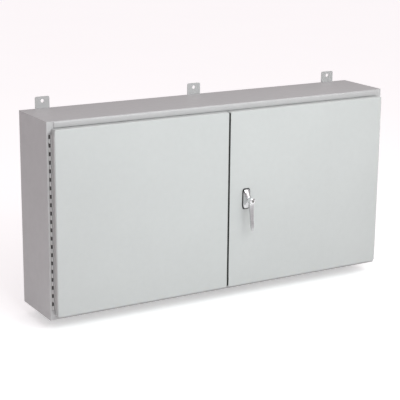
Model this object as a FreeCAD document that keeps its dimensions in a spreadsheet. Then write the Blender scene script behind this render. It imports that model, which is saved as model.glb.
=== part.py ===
import FreeCAD, Part
import math
import os
import re
import Sketcher
from FreeCAD import Placement, Rotation, Vector

# Wall-mounted two-door transfer switch cabinet, millimetres.
# X runs right seen from the front, Y into the wall, Z up.
# The origin is the centre of the wall plane that the mounting tabs rest on.

DIMENSIONS = {
    # sheet-metal body
    "body_width": 1524,
    "body_height": 762,
    "body_depth": 254,
    "body_sheet": 2,
    "lip_height": 50,
    "side_flange": 40,
    "bend": 3,
    "tab_plate": 3,
    "tab_width": 59,
    "tab_rise": 45,
    "tab_overlap": 40,
    "tab_corner": 6,
    "tab_pitch": 666,
    "tab_hole": 14.3,
    "tab_hole_rise": 28,
    "drip_end": 36,
    "drip_proud": 5,
    "drip_drop": 23,
    "drip_sheet": 1.5,
    "drip_roll": 4.6,
    "post_width": 56,
    "post_depth": 25,
    # doors
    "door_inset": 19,
    "door_gap": 6,
    "door_depth": 28,
    "door_stand": 3,
    "door_sheet": 2,
    "door_below_top": 26.5,
    "door_above_bottom": 18,
    "door_flange": 20,
    "door_corner": 8,
    "door_bend": 3.5,
    "notch_radius": 3.2,
    "notch_inset": 34,
    "gasket_inset": 5,
    "gasket_width": 12,
    "gasket_clear": 0.3,
    # continuous hinges
    "hinge_pin_inset": 11,
    "hinge_pin_ahead": 3.8,
    "hinge_barrel": 3.5,
    "hinge_bore": 1.55,
    "hinge_pin": 1.5,
    "hinge_sheet": 1.3,
    "hinge_length": 672,
    "hinge_low": -338,
    "knuckle": 16,
    "knuckle_clear": 0.3,
    "hinge_wing": 8,
    # latch handle
    "handle_across": 80,
    "handle_level": -3,
    "pad_width": 37,
    "pad_height": 85,
    "pad_thick": 2.5,
    "base_width": 31,
    "base_height": 78,
    "base_thick": 6,
    "base_corner": 9,
    "neck_wide": 15,
    "neck_slim": 11,
    "neck_length": 18,
    "hub_radius": 12.5,
    "hub_length": 24,
    "lever_length": 122,
    "lever_thick": 10,
    "lever_lean": 12,
    "lever_root": 10,
    "lever_tip": 6,
    "spindle": 8,
    "spindle_bore": 8.05,
    "plug_radius": 6,
    "plug_bore": 6.05,
    "plug_depth": 18,
    "base_screw": 3,
    "base_screw_pitch": 58,
    # latch works
    "cam_thick": 4,
    "cam_radius": 22,
    "cam_pin": 3,
    "cam_offset": 11.314,
    "pawl_reach": 50,
    "rod_width": 12,
    "rod_thick": 5,
    "rod_depth": 10,
    "rod_eye": 22,
    "rod_shift": 13.65,
    "slot_play": 0.6,
    "roller_radius": 7,
    "roller_width": 6,
    "roller_pin": 2,
    "roller_bore": 2.05,
    "latch_clear": 0.6,
    "guide_width": 30,
    "guide_height": 12,
    "guide_clear": 0.3,
    "bolt_across": 45,
    "bolt_radius": 5,
    "bolt_length": 110,
    "bolt_knob": 8,
    "bolt_guide": 20,
    "pocket_low": -520,
    "pocket_width": 280,
    "pocket_floor": -180,
    "pocket_height": 240,
    "pocket_depth": 40,
    "pocket_wall": 3,
    # mounting panel
    "panel_width": 1448,
    "panel_height": 686,
    "panel_thick": 3,
    "panel_stand": 24,
    "stud_pitch_across": 700,
    "stud_level": 320,
    "stud_radius": 4.7,
    "stud_collar": 9,
    "stud_reach": 18,
    "nut_flats": 15,
    "nut_thick": 8,
    "bar_low": -262,
    "bar_height": 24,
    "bar_rail": 12,
    "bar_stand": 12,
    # transfer switch
    "switch_across": -110,
    "switch_base_thick": 25,
    "base_left": 205,
    "base_right": 258,
    "base_floor": -225,
    "base_rise": 430,
    "pole_pitch": 110,
    "pole_width": 92,
    "pole_height": 250,
    "pole_depth": 95,
    "pole_wall": 10,
    "cavity_height": 130,
    "shaft_radius": 10,
    "shaft_bore": 10.05,
    "shaft_ahead": 95,
    "arm_angle": 35,
    "arm_reach": 42,
    "arm_width": 26,
    "arm_thick": 8,
    "crank_throw": 30,
    "bar_width": 24,
    "bar_thick": 6,
    "lug_height": 34,
    "lug_depth": 30,
    "coil_side": 52,
    "coil_height": 78,
    "plunger_radius": 8,
    "plunger_bore": 8.05,
    "plunger_across": 110,
    "plunger_length": 120,
    "coil_floor": 75,
    "frame_half": 34,
    "frame_sheet": 4,
    "frame_low": -60,
    "frame_ahead": 60,
    "yoke_half": 9,
    "yoke_slot": 3.7,
    "shaft_length": 470,
    "shaft_left": 195,
    "manual_reach": 92,
    "manual_grip": 11,
    "flag_radius": 34,
    "flag_thick": 10,
    # controls
    "controller_width": 200,
    "controller_height": 150,
    "controller_depth": 80,
    "button_radius": 8,
    "button_reach": 5,
    "button_across": 165,
    "controller_left": -640,
    "controller_low": 40,
    "display_margin": 30,
    "display_width": 100,
    "display_low": 70,
    "display_height": 50,
    "display_fit": 0.2,
    "rail_low": -660,
    "rail_level": -70,
    "rail_foot": 27,
    "rail_brim": 35,
    "rail_rise": 7.5,
    "rail_sheet": 1,
    "terminal_depth": 44,
    "terminal_height": 60,
    "terminal_way": 3.6,
    "relay_pitch": 38,
    "relay_width": 32,
    "fuse_pitch": 19,
    "fuse_width": 18,
    "rail_length": 300,
    "transformer_middle": -590,
    "transformer_low": -290,
    "transformer_side": 80,
    "core_width": 100,
    "winding_width": 120,
    "terminal_pitch": 12,
}

# Places worked out from the driving dimensions.
DERIVED = {
    "half_width": "body_width / 2",
    "half_height": "body_height / 2",
    "back": "-tab_plate",
    "front": "-tab_plate - body_depth",
    "lip_edge": "half_height - lip_height",
    "door_back": "front - door_stand",
    "door_face": "front - door_stand - door_depth",
    "door_side": "half_width - door_inset",
    "door_meet": "door_gap / 2",
    "door_top": "half_height - door_below_top",
    "door_bottom": "door_above_bottom - half_height",
    "door_inside": "door_face + door_sheet",
    "pin_across": "half_width - hinge_pin_inset",
    "pin_depth": "front - hinge_pin_ahead",
    "hinge_high": "hinge_low + hinge_length",
    "pad_face": "door_face - pad_thick",
    "base_face": "pad_face - base_thick",
    "neck_face": "base_face - neck_length",
    "hub_back": "neck_face - 1",
    "hub_face": "hub_back - hub_length",
    "rod_plane": "front + rod_depth",
    "rod_front": "rod_plane - rod_thick / 2",
    "rod_back": "rod_plane + rod_thick / 2",
    "cam_back": "rod_front - 0.5",
    "cam_front": "cam_back - cam_thick",
    "roller_level": "lip_edge - latch_clear - roller_radius",
    "panel_back": "back - body_sheet - panel_stand",
    "panel_front": "panel_back - panel_thick",
    "base_front": "panel_front - switch_base_thick",
    "shaft_depth": "panel_front - shaft_ahead + switch_base_thick",
    "pole_front": "base_front - pole_depth",
    "slide_depth": "shaft_depth - crank_throw * 0.91",
}

doc = FreeCAD.newDocument("transfer_switch_cabinet")
sheet = doc.addObject("Spreadsheet::Sheet", "Dims")
for row, (alias, number) in enumerate(DIMENSIONS.items(), start=1):
    sheet.set("A%d" % row, alias)
    sheet.set("B%d" % row, str(number))
    sheet.setAlias("B%d" % row, alias)
doc.recompute()

nodes = []
AXIS_TURN = {
    "x": Rotation(Vector(0, 1, 0), 90),
    "y": Rotation(Vector(1, 0, 0), -90),
    "z": Rotation(),
}


def expr(text):
    """Turn bare dimension and place names into an expression over the sheet."""
    def swap(match):
        word = match.group(0)
        if word in DERIVED:
            return "(" + expr(DERIVED[word]) + ")"
        if word in DIMENSIONS:
            return "Dims." + word
        return word
    return re.sub(r"[a-z][a-z_]+", swap, str(text))


def bind(item, **places):
    """Bind properties of an object; a double underscore stands for a dot."""
    for name, text in places.items():
        item.setExpression(name.replace("__", "."), expr(text))


def put(item, x=0, y=0, z=0):
    bind(item, Placement__Base__x=x, Placement__Base__y=y, Placement__Base__z=z)
    return item


def keep(label, item):
    """Name an object as one sub-part of the cabinet."""
    item.Label = label
    nodes.append(item)
    return item


def box(x, y, z):
    """Block between the low and high places given on each axis."""
    block = doc.addObject("Part::Box", "Block")
    for size, (low, high) in zip(("Length", "Width", "Height"), (x, y, z)):
        block.setExpression(size, expr("(%s) - (%s)" % (high, low)))
    return put(block, x[0], y[0], z[0])


def cylinder(axis, x, y, z, radius, length):
    """Round bar from the point given, running up its axis."""
    bar = doc.addObject("Part::Cylinder", "Round")
    bar.Placement = Placement(Vector(), AXIS_TURN[axis])
    bind(bar, Radius=radius, Height=length)
    return put(bar, x, y, z)


def cone(axis, x, y, z, radius, far_radius, length):
    taper = doc.addObject("Part::Cone", "Taper")
    taper.Placement = Placement(Vector(), AXIS_TURN[axis])
    bind(taper, Radius1=radius, Radius2=far_radius, Height=length)
    return put(taper, x, y, z)


def hexagon(axis, x, y, z, flats, length):
    prism = doc.addObject("Part::Prism", "Hexagon")
    prism.Polygon = 6
    prism.Placement = Placement(Vector(), AXIS_TURN[axis])
    bind(prism, Circumradius="(%s) / 1.7320508" % flats, Height=length)
    return put(prism, x, y, z)


def fuse(*parts):
    joined = doc.addObject("Part::MultiFuse", "Joined")
    joined.Shapes = list(parts)
    return joined


def common(*parts):
    shared = doc.addObject("Part::MultiCommon", "Shared")
    shared.Shapes = list(parts)
    return shared


def group(parts):
    """Separate solids that share one node."""
    together = doc.addObject("Part::Compound", "Together")
    together.Links = list(parts)
    return together


def cut(base, *tools):
    trimmed = doc.addObject("Part::Cut", "Trimmed")
    trimmed.Base = base
    trimmed.Tool = tools[0] if len(tools) == 1 else group(tools)
    return trimmed


def mirrored(source):
    """The same piece on the other side of the YZ plane."""
    twin = doc.addObject("Part::Mirroring", "Twin")
    twin.Source = source
    twin.Normal = Vector(1, 0, 0)
    return twin


def pad(plane, corners, length):
    """Body with one padded outline; XZ pads run towards -Y, YZ pads towards +X."""
    body = doc.addObject("PartDesign::Body", "Body")
    sketch = body.newObject("Sketcher::SketchObject", "Outline")
    support = [item for item in body.Origin.OriginFeatures if item.Role == plane]
    sketch.AttachmentSupport = [(support[0], "")]
    sketch.MapMode = "FlatFace"
    count = len(corners)
    turn = 2 * math.pi / count
    ring = [Vector(50 * math.cos(turn * i), 50 * math.sin(turn * i), 0) for i in range(count)]
    for i in range(count):
        sketch.addGeometry(Part.LineSegment(ring[i], ring[(i + 1) % count]))
    for i in range(count):
        sketch.addConstraint(Sketcher.Constraint("Coincident", i, 2, (i + 1) % count, 1))
    for i, corner in enumerate(corners):
        for kind, start, place in zip(("DistanceX", "DistanceY"), (ring[i].x, ring[i].y), corner):
            index = sketch.addConstraint(Sketcher.Constraint(kind, -1, 1, i, 1, start))
            sketch.setExpression("Constraints[%d]" % index, expr(place))
    solid = body.newObject("PartDesign::Pad", "Pad")
    solid.Profile = sketch
    bind(solid, Length=length)
    doc.recompute()
    return body


def along(axis):
    """Test for the straight edges that run along an axis."""
    def test(edge):
        if edge.Curve.TypeId != "Part::GeomLine":
            return False
        return abs(edge.Curve.Direction.dot(axis)) > 0.999
    return test


def outer(shape, axis_name, side, inset=0):
    """Test for the edges lying wholly on one outer side of a shape, or just inside it."""
    limit = getattr(shape.BoundBox, axis_name + ("Max" if side > 0 else "Min"))
    limit -= side * inset

    def test(edge):
        low = getattr(edge.BoundBox, axis_name + "Min")
        high = getattr(edge.BoundBox, axis_name + "Max")
        return abs(low - limit) < 0.01 and abs(high - limit) < 0.01
    return test


def soften(body, radius, *tests):
    """Fillet the edges of a body's tip that pass every test."""
    tip = body.Tip
    names = []
    for index, edge in enumerate(tip.Shape.Edges, start=1):
        if all(test(edge) for test in tests):
            names.append("Edge%d" % index)
    fillet = body.newObject("PartDesign::Fillet", "Bend")
    fillet.Base = (tip, names)
    bind(fillet, Radius=radius)
    doc.recompute()
    return body


def round_edges(base, radius, *tests):
    """Fillet the edges of any shape that pass every test."""
    doc.recompute()
    size = float(DIMENSIONS[radius])
    picked = []
    for index, edge in enumerate(base.Shape.Edges, start=1):
        if all(test(edge) for test in tests):
            picked.append((index, size, size))
    fillet = doc.addObject("Part::Fillet", "Rounded")
    fillet.Base = base
    fillet.Edges = picked
    doc.recompute()
    return fillet


X_AXIS = Vector(1, 0, 0)
Y_AXIS = Vector(0, 1, 0)
Z_AXIS = Vector(0, 0, 1)


def make_body():
    """Wrapper, side panels, drip lip, tabs and centre post."""
    profile = [
        ("back", "-half_height"),
        ("back", "half_height"),
        ("front", "half_height"),
        ("front", "lip_edge"),
        ("front + body_sheet", "lip_edge"),
        ("front + body_sheet", "half_height - body_sheet"),
        ("back - body_sheet", "half_height - body_sheet"),
        ("back - body_sheet", "body_sheet - half_height"),
        ("front + body_sheet", "body_sheet - half_height"),
        ("front + body_sheet", "-lip_edge"),
        ("front", "-lip_edge"),
        ("front", "-half_height"),
    ]
    wrapper = pad("YZ_Plane", profile, "body_width - 2 * body_sheet")
    soften(wrapper, "bend", along(X_AXIS), outer(wrapper.Tip.Shape, "Z", -1))
    put(wrapper, x="body_sheet - half_width")
    keep("body_wrapper", wrapper)

    side_profile = [
        ("-half_width", "back"),
        ("-half_width", "front"),
        ("side_flange - half_width", "front"),
        ("side_flange - half_width", "front + body_sheet"),
        ("body_sheet - half_width", "front + body_sheet"),
        ("body_sheet - half_width", "back"),
    ]
    side = pad("XY_Plane", side_profile, "body_height")
    low_x = outer(side.Tip.Shape, "X", -1)
    low_y = outer(side.Tip.Shape, "Y", -1)
    soften(side, "bend", along(Z_AXIS), low_x, low_y)
    put(side, z="-half_height")
    corner = ("body_sheet - half_width", "side_flange - half_width + 1")
    lip = ("front - 1", "front + body_sheet + 0.01")
    upper_notch = box(corner, lip, ("lip_edge", "half_height + 1"))
    lower_notch = box(corner, lip, ("-half_height - 1", "-lip_edge"))
    left_side = keep("left_side_panel", cut(side, upper_notch, lower_notch))
    keep("right_side_panel", mirrored(left_side))

    drip_low = "half_height - drip_drop"
    drip_profile = [
        ("front", "half_height"),
        ("front - drip_proud", "half_height"),
        ("front - drip_proud", drip_low),
        ("front", drip_low),
        ("front", drip_low + " + drip_sheet"),
        ("front - drip_proud + drip_sheet", drip_low + " + drip_sheet"),
        ("front - drip_proud + drip_sheet", "half_height - drip_sheet"),
        ("front", "half_height - drip_sheet"),
    ]
    drip = pad("YZ_Plane", drip_profile, "body_width - 2 * drip_end")
    skin = DIMENSIONS["drip_sheet"]
    inner_low = outer(drip.Tip.Shape, "Z", -1, skin)
    inner_face = outer(drip.Tip.Shape, "Y", -1, skin)
    drip_low_edge = outer(drip.Tip.Shape, "Z", -1)
    drip_face = outer(drip.Tip.Shape, "Y", -1)
    soften(drip, "drip_roll - drip_sheet", along(X_AXIS), inner_low, inner_face)
    soften(drip, "drip_roll", along(X_AXIS), drip_low_edge, drip_face)
    put(drip, x="drip_end - half_width")
    solid_profile = drip_profile[:4]
    caps = []
    for start in ("drip_end - half_width", "half_width - drip_end - drip_sheet"):
        cap = pad("YZ_Plane", solid_profile, "drip_sheet")
        cap_low = outer(cap.Tip.Shape, "Z", -1)
        cap_face = outer(cap.Tip.Shape, "Y", -1)
        soften(cap, "drip_roll", along(X_AXIS), cap_low, cap_face)
        caps.append(put(cap, x=start))
    keep("drip_lip", fuse(drip, *caps))

    for label, side_sign in (("upper", 1), ("lower", -1)):
        tabs = []
        for place in (-1, 0, 1):
            low = "half_height - tab_overlap"
            high = "half_height + tab_rise"
            if side_sign < 0:
                low, high = "-half_height - tab_rise", "tab_overlap - half_height"
            across = "%d * tab_pitch" % place
            span = (across + " - tab_width / 2", across + " + tab_width / 2")
            plate = box(span, ("-tab_plate", "0"), (low, high))
            level = "%d * (half_height + tab_hole_rise)" % side_sign
            hole = cylinder("y", across, "-tab_plate - 1", level, "tab_hole / 2", "tab_plate + 2")
            doc.recompute()
            ends = outer(plate.Shape, "Z", side_sign)
            upright = round_edges(plate, "tab_corner", along(Y_AXIS), ends)
            tabs.append(cut(upright, hole))
        keep(label + "_mounting_tabs", group(tabs))

    half_post = "post_width / 2"
    post_span = ("0.5 - lip_edge", "lip_edge - 0.5")
    block = box(("-" + half_post, half_post), ("front", "front + post_depth"), post_span)
    hollow_across = ("body_sheet - " + half_post, half_post + " - body_sheet")
    hollow_depth = ("front + body_sheet", "front + post_depth + 1")
    hollow = box(hollow_across, hollow_depth, ("-half_height", "half_height"))
    keep("center_post", cut(block, hollow))


def make_hinges():
    """Continuous hinge leaves with alternate knuckles, and their pins."""
    def gaps(first, clearance):
        """Blocks that clear every other knuckle space, from the first on."""
        spaces = []
        reach = "(hinge_barrel + 0.5)"
        for i in range(first, int(DIMENSIONS["hinge_length"] / DIMENSIONS["knuckle"]), 2):
            low = "hinge_low + knuckle * %d - %s" % (i, clearance)
            high = "hinge_low + knuckle * %d + %s" % (i + 1, clearance)
            across = ("-pin_across - " + reach, "-pin_across + " + reach)
            depth = ("pin_depth - " + reach, "pin_depth + " + reach)
            spaces.append(box(across, depth, (low, high)))
        return group(spaces)

    span = ("hinge_low", "hinge_high")
    barrel = ("z", "-pin_across", "pin_depth", "hinge_low")
    bore = cylinder(*barrel, "hinge_bore", "hinge_length")
    wing = box(
        ("-pin_across - hinge_wing", "-pin_across"),
        ("front - hinge_sheet", "front"),
        span,
    )
    body_roll = cylinder(*barrel, "hinge_barrel", "hinge_length")
    body_barrel = cut(fuse(wing, body_roll), gaps(1, "knuckle_clear / 2"))
    body_leaf = cut(body_barrel, bore)
    keep("left_hinge_body_leaf", body_leaf)
    keep("right_hinge_body_leaf", mirrored(body_leaf))

    roll_face = "pin_depth - hinge_barrel"
    web = box(("-pin_across", "-door_side"), (roll_face, roll_face + " + hinge_sheet"), span)
    wall = box(
        ("-door_side - hinge_sheet", "-door_side"),
        ("door_face + 3", roll_face + " + hinge_sheet"),
        span,
    )
    door_roll = cylinder(*barrel, "hinge_barrel", "hinge_length")
    door_barrel = cut(fuse(web, door_roll), gaps(0, "knuckle_clear / 2"))
    door_leaf = cut(fuse(wall, door_barrel), bore)
    keep("left_hinge_door_leaf", door_leaf)
    keep("right_hinge_door_leaf", mirrored(door_leaf))

    left_pin = keep("left_hinge_pin", cylinder(*barrel, "hinge_pin", "hinge_length"))
    keep("right_hinge_pin", mirrored(left_pin))


def make_door(low, high):
    """Pan-shaped door with a return flange, between two places across."""
    block = box((low, high), ("door_face", "door_back"), ("door_bottom", "door_top"))
    doc.recompute()
    rounded = round_edges(block, "door_corner", along(Y_AXIS))
    face = outer(rounded.Shape, "Y", -1)
    pan = round_edges(rounded, "door_bend", face)
    tray = box(
        (low + " + door_sheet", high + " - door_sheet"),
        ("door_inside", "door_back - door_sheet"),
        ("door_bottom + door_sheet", "door_top - door_sheet"),
    )
    doc.recompute()
    inner = round_edges(tray, "door_corner", along(Y_AXIS))
    mouth = box(
        (low + " + door_flange", high + " - door_flange"),
        ("door_back - door_sheet - 1", "door_back + 1"),
        ("door_bottom + door_flange", "door_top - door_flange"),
    )
    return cut(pan, inner, mouth)


def make_gasket(low, high):
    """Square ring of seal on a door's return flange."""
    depth = ("door_back", "front - gasket_clear")
    ring = box(
        (low + " + gasket_inset", high + " - gasket_inset"),
        depth,
        ("door_bottom + gasket_inset", "door_top - gasket_inset"),
    )
    rim = "gasket_inset + gasket_width"
    inside = box(
        ("%s + %s" % (low, rim), "%s - (%s)" % (high, rim)),
        ("door_back - 1", "front + 1"),
        ("door_bottom + %s" % rim, "door_top - (%s)" % rim),
    )
    return cut(ring, inside)


def make_doors():
    left = ("-door_side", "-door_meet")
    right = ("door_meet", "door_side")
    keep("left_door_panel", make_door(*left))
    keep("left_door_gasket", make_gasket(*left))

    depth = "door_depth + 10"
    spindle_hole = cylinder(
        "y", "handle_across", "door_face - 1", "handle_level", "spindle_bore + 2", "10")
    tools = [spindle_hole]
    for side in (-1, 1):
        level = "handle_level + %d * base_screw_pitch / 2" % side
        hole = cylinder("y", "handle_across", "door_face - 1", level, "base_screw + 0.3", "10")
        tools.append(hole)
    for level in ("door_top - notch_inset", "door_bottom + notch_inset"):
        notch = cylinder("y", "door_meet", "door_face - 1", level, "notch_radius", depth)
        tools.append(notch)
    keep("right_door_panel", cut(make_door(*right), *tools))
    keep("right_door_gasket", make_gasket(*right))


def make_handle():
    """Escutcheon, neck, hub and lever, lock plug, and the screws behind."""
    def slab(width, height, corner, near, far):
        half = (width + " / 2", height + " / 2")
        across = ("handle_across - " + half[0], "handle_across + " + half[0])
        upright = ("handle_level - " + half[1], "handle_level + " + half[1])
        block = box(across, (near, far), upright)
        doc.recompute()
        return round_edges(block, corner, along(Y_AXIS))

    centre = ("handle_across", "handle_level")
    screw_levels = ["handle_level + %d * base_screw_pitch / 2" % side for side in (-1, 1)]

    seal = slab("pad_width", "pad_height", "base_corner", "pad_face", "door_face")
    seal_holes = [cylinder("y", centre[0], "pad_face - 1", centre[1], "spindle_bore + 2", "10")]
    for level in screw_levels:
        seal_holes.append(
            cylinder("y", centre[0], "pad_face - 1", level, "base_screw + 0.3", "10"))
    keep("handle_gasket", cut(seal, *seal_holes))

    plate = slab("base_width", "base_height", "base_corner", "base_face", "pad_face")
    neck = cone("y", centre[0], "neck_face", centre[1], "neck_slim", "neck_wide", "neck_length")
    bore = cylinder("y", centre[0], "neck_face - 1", centre[1], "spindle_bore", "60")
    base_holes = [bore]
    for level in screw_levels:
        base_holes.append(
            cylinder("y", centre[0], "pad_face - 4", level, "base_screw + 0.05", "10"))
    keep("handle_base", cut(fuse(plate, neck), *base_holes))

    lever_back = "hub_back - (hub_length - lever_thick) / 2"
    taper = [
        ("-lever_root", "0"),
        ("-lever_tip", "-lever_length"),
        ("lever_tip", "-lever_length"),
        ("lever_root", "0"),
    ]
    front = pad("XZ_Plane", taper, "lever_thick + lever_lean")
    soften(front, "lever_tip - 0.2", along(Y_AXIS), outer(front.Tip.Shape, "Z", -1))
    put(front, "handle_across", lever_back, "handle_level")
    lean = [
        ("0", "1"),
        ("-lever_lean", "-lever_length - 1"),
        ("-(lever_lean + lever_thick)", "-lever_length - 1"),
        ("-lever_thick", "1"),
    ]
    side = pad("YZ_Plane", lean, "2 * lever_root + 2")
    put(side, "handle_across - lever_root - 1", lever_back, "handle_level")
    lever = common(front, side)
    hub = cylinder("y", centre[0], "hub_face", centre[1], "hub_radius", "hub_length")
    reach = "cam_back + 0.2 - hub_back"
    spindle = cylinder("y", centre[0], "hub_back", centre[1], "spindle", reach)
    plug_hole = cylinder("y", centre[0], "hub_face - 1", centre[1], "plug_bore", "plug_depth + 1")
    keep("handle_lever", cut(fuse(lever, hub, spindle), plug_hole))

    plug = cylinder("y", centre[0], "hub_face - 0.6", centre[1], "plug_radius", "plug_depth")
    slot_across = ("handle_across - 0.8", "handle_across + 0.8")
    slot_upright = ("handle_level - 3.5", "handle_level + 3.5")
    slot = box(slot_across, ("hub_face - 1", "hub_face + 6"), slot_upright)
    keep("lock_cylinder", cut(plug, slot))

    screws = []
    for level in screw_levels:
        shank = cylinder("y", centre[0], "pad_face - 3.5", level, "base_screw", "pad_thick + 5.5")
        head = cylinder("y", centre[0], "door_inside", level, "base_screw + 2.5", "4")
        screws.append(fuse(shank, head))
    keep("handle_screws", group(screws))


def make_latch():
    """Cam with pawl, two rods with rollers, and their guides."""
    disc = cylinder("y", "handle_across", "cam_front", "handle_level", "cam_radius", "cam_thick")
    pawl = box(
        ("handle_across - pawl_reach", "handle_across"),
        ("cam_front", "cam_back"),
        ("handle_level - 9", "handle_level + 9"),
    )
    pins = []
    for side in (-1, 1):
        across = "handle_across + %d * cam_offset" % side
        level = "handle_level - %d * cam_offset" % side
        pins.append(cylinder("y", across, "cam_back - 1", level, "cam_pin", "rod_thick + 1.5"))
    bore = cylinder("y", "handle_across", "cam_front - 1", "handle_level", "spindle", "cam_thick + 2")
    keep("latch_cam", cut(fuse(disc, pawl, *pins), bore))
    nut = hexagon("y", "handle_across", "cam_front - 5.2", "handle_level", "24", "5")
    nut_bore = cylinder("y", "handle_across", "cam_front - 9", "handle_level", "spindle", "12")
    keep("cam_nut", cut(nut, nut_bore))

    rod_depth = ("rod_front", "rod_back")
    guides = []
    for label, up in (("upper", 1), ("lower", -1)):
        across = "handle_across - %d * rod_shift" % up
        pin_level = "handle_level + %d * cam_offset" % up
        tip = "%d * (roller_level + 5)" % up
        far = "%d * roller_level" % up
        ends = (pin_level, tip) if up > 0 else (tip, pin_level)
        bar = box((across + " - rod_width / 2", across + " + rod_width / 2"), rod_depth, ends)
        eye = box(
            (across + " - rod_eye / 2", across + " + rod_eye / 2"),
            rod_depth,
            (pin_level + " - 9", pin_level + " + 9"),
        )
        slot_half = "cam_pin + slot_play"
        slot = box(
            (across + " - (2.8 + %s)" % slot_half, across + " + 2.8 + " + slot_half),
            ("rod_front - 1", "rod_back + 1"),
            ("%s - (%s)" % (pin_level, slot_half), "%s + %s" % (pin_level, slot_half)),
        )
        fork_ends = (far + " - (roller_radius + 1.5)", far + " + 8")
        if up < 0:
            fork_ends = (far + " - 8", far + " + roller_radius + 1.5")
        fork = box(
            (across + " - (roller_width / 2 + 0.3)", across + " + roller_width / 2 + 0.3"),
            ("rod_front - 1", "rod_back + 1"),
            fork_ends,
        )
        axle = cylinder(
            "x", across + " - rod_width / 2", "rod_plane", far, "roller_pin", "rod_width")
        keep(label + "_latch_rod", fuse(cut(fuse(bar, eye), slot, fork), axle))

        wheel = cylinder(
            "x", across + " - roller_width / 2", "rod_plane", far, "roller_radius", "roller_width")
        wheel_bore = cylinder("x", across + " - 10", "rod_plane", far, "roller_bore", "20")
        keep(label + "_latch_roller", cut(wheel, wheel_bore))

        for distance in (120, 270):
            level = "handle_level + %d" % (up * distance)
            block = box(
                (across + " - guide_width / 2", across + " + guide_width / 2"),
                ("door_inside", "rod_back + 4"),
                (level + " - guide_height / 2", level + " + guide_height / 2"),
            )
            passage = box(
                (across + " - (rod_width / 2 + guide_clear)",
                 across + " + rod_width / 2 + guide_clear"),
                ("rod_front - guide_clear", "rod_back + guide_clear"),
                (level + " - guide_height", level + " + guide_height"),
            )
            guides.append(cut(block, passage))
    keep("rod_guides", group(guides))


def make_left_door_works():
    """Slide bolts that hold the left door, and the pocket for papers."""
    guides = []
    for label, up in (("upper", 1), ("lower", -1)):
        tip = "%d * (lip_edge - latch_clear)" % up
        root = "%d * (lip_edge - latch_clear - bolt_length)" % up
        start = root if up > 0 else tip
        bar = cylinder("z", "-bolt_across", "rod_plane", start, "bolt_radius", "bolt_length")
        grip_level = "%d * (lip_edge - latch_clear - bolt_length + 12)" % up
        grip = cylinder("y", "-bolt_across", "rod_plane", grip_level, "bolt_knob / 2", "18")
        knob = cylinder("y", "-bolt_across", "rod_plane + 14", grip_level, "bolt_knob", "10")
        keep(label + "_door_bolt", fuse(bar, grip, knob))
        for distance in (18, 62):
            level = "%d * (lip_edge - %d)" % (up, distance)
            block = box(
                ("-bolt_across - bolt_guide / 2", "-bolt_across + bolt_guide / 2"),
                ("door_inside", "rod_plane + 9"),
                (level + " - guide_height / 2", level + " + guide_height / 2"),
            )
            passage = cylinder(
                "z", "-bolt_across", "rod_plane", level + " - guide_height",
                "bolt_radius + guide_clear", "2 * guide_height")
            guides.append(cut(block, passage))
    keep("door_bolt_guides", group(guides))

    shell = box(
        ("pocket_low", "pocket_low + pocket_width"),
        ("door_inside", "door_inside + pocket_depth"),
        ("pocket_floor", "pocket_floor + pocket_height"),
    )
    slot = box(
        ("pocket_low + pocket_wall", "pocket_low + pocket_width - pocket_wall"),
        ("door_inside + pocket_wall", "door_inside + pocket_depth - pocket_wall"),
        ("pocket_floor + pocket_wall", "pocket_floor + pocket_height + 1"),
    )
    keep("document_pocket", cut(shell, slot))


def make_panel():
    """Mounting panel on collar studs, with its nuts, and the two bars."""
    plate = box(
        ("-panel_width / 2", "panel_width / 2"),
        ("panel_front", "panel_back"),
        ("-panel_height / 2", "panel_height / 2"),
    )
    holes = []
    studs = []
    nuts = []
    for side in (-1, 0, 1):
        for up in (-1, 1):
            across = "%d * stud_pitch_across" % side
            level = "%d * stud_level" % up
            holes.append(
                cylinder("y", across, "panel_front - 1", level, "stud_radius + 0.5", "6"))
            collar = cylinder("y", across, "panel_back", level, "stud_collar", "panel_stand")
            thread = cylinder(
                "y", across, "panel_front - stud_reach", level, "stud_radius", "stud_reach + 4")
            studs.append(fuse(collar, thread))
            nut = hexagon("y", across, "panel_front - nut_thick", level, "nut_flats", "nut_thick")
            thread_bore = cylinder(
                "y", across, "panel_front - nut_thick - 1", level, "stud_radius", "nut_thick + 2")
            nuts.append(cut(nut, thread_bore))
    keep("sub_panel", cut(plate, *holes))
    keep("panel_studs", group(studs))
    keep("panel_nuts", group(nuts))

    rail_depth = ("panel_front - bar_stand - bar_rail", "panel_front - bar_stand")
    foot_depth = ("panel_front - bar_stand", "panel_front")
    upright = ("bar_low", "bar_low + bar_height")
    for label, low, high in (("neutral_bar", 260, 460), ("ground_bar", 520, 680)):
        rail = box((low, high), rail_depth, upright)
        feet = [
            box((low + 4, low + 20), foot_depth, upright),
            box((high - 20, high - 4), foot_depth, upright),
        ]
        ways = []
        middle = "panel_front - bar_stand - bar_rail / 2"
        for across in range(low + 28, high - 20, 16):
            ways.append(cylinder("z", across, middle, "bar_low - 1", "3.5", "bar_height + 2"))
        keep(label, cut(fuse(rail, *feet), *ways))


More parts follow.
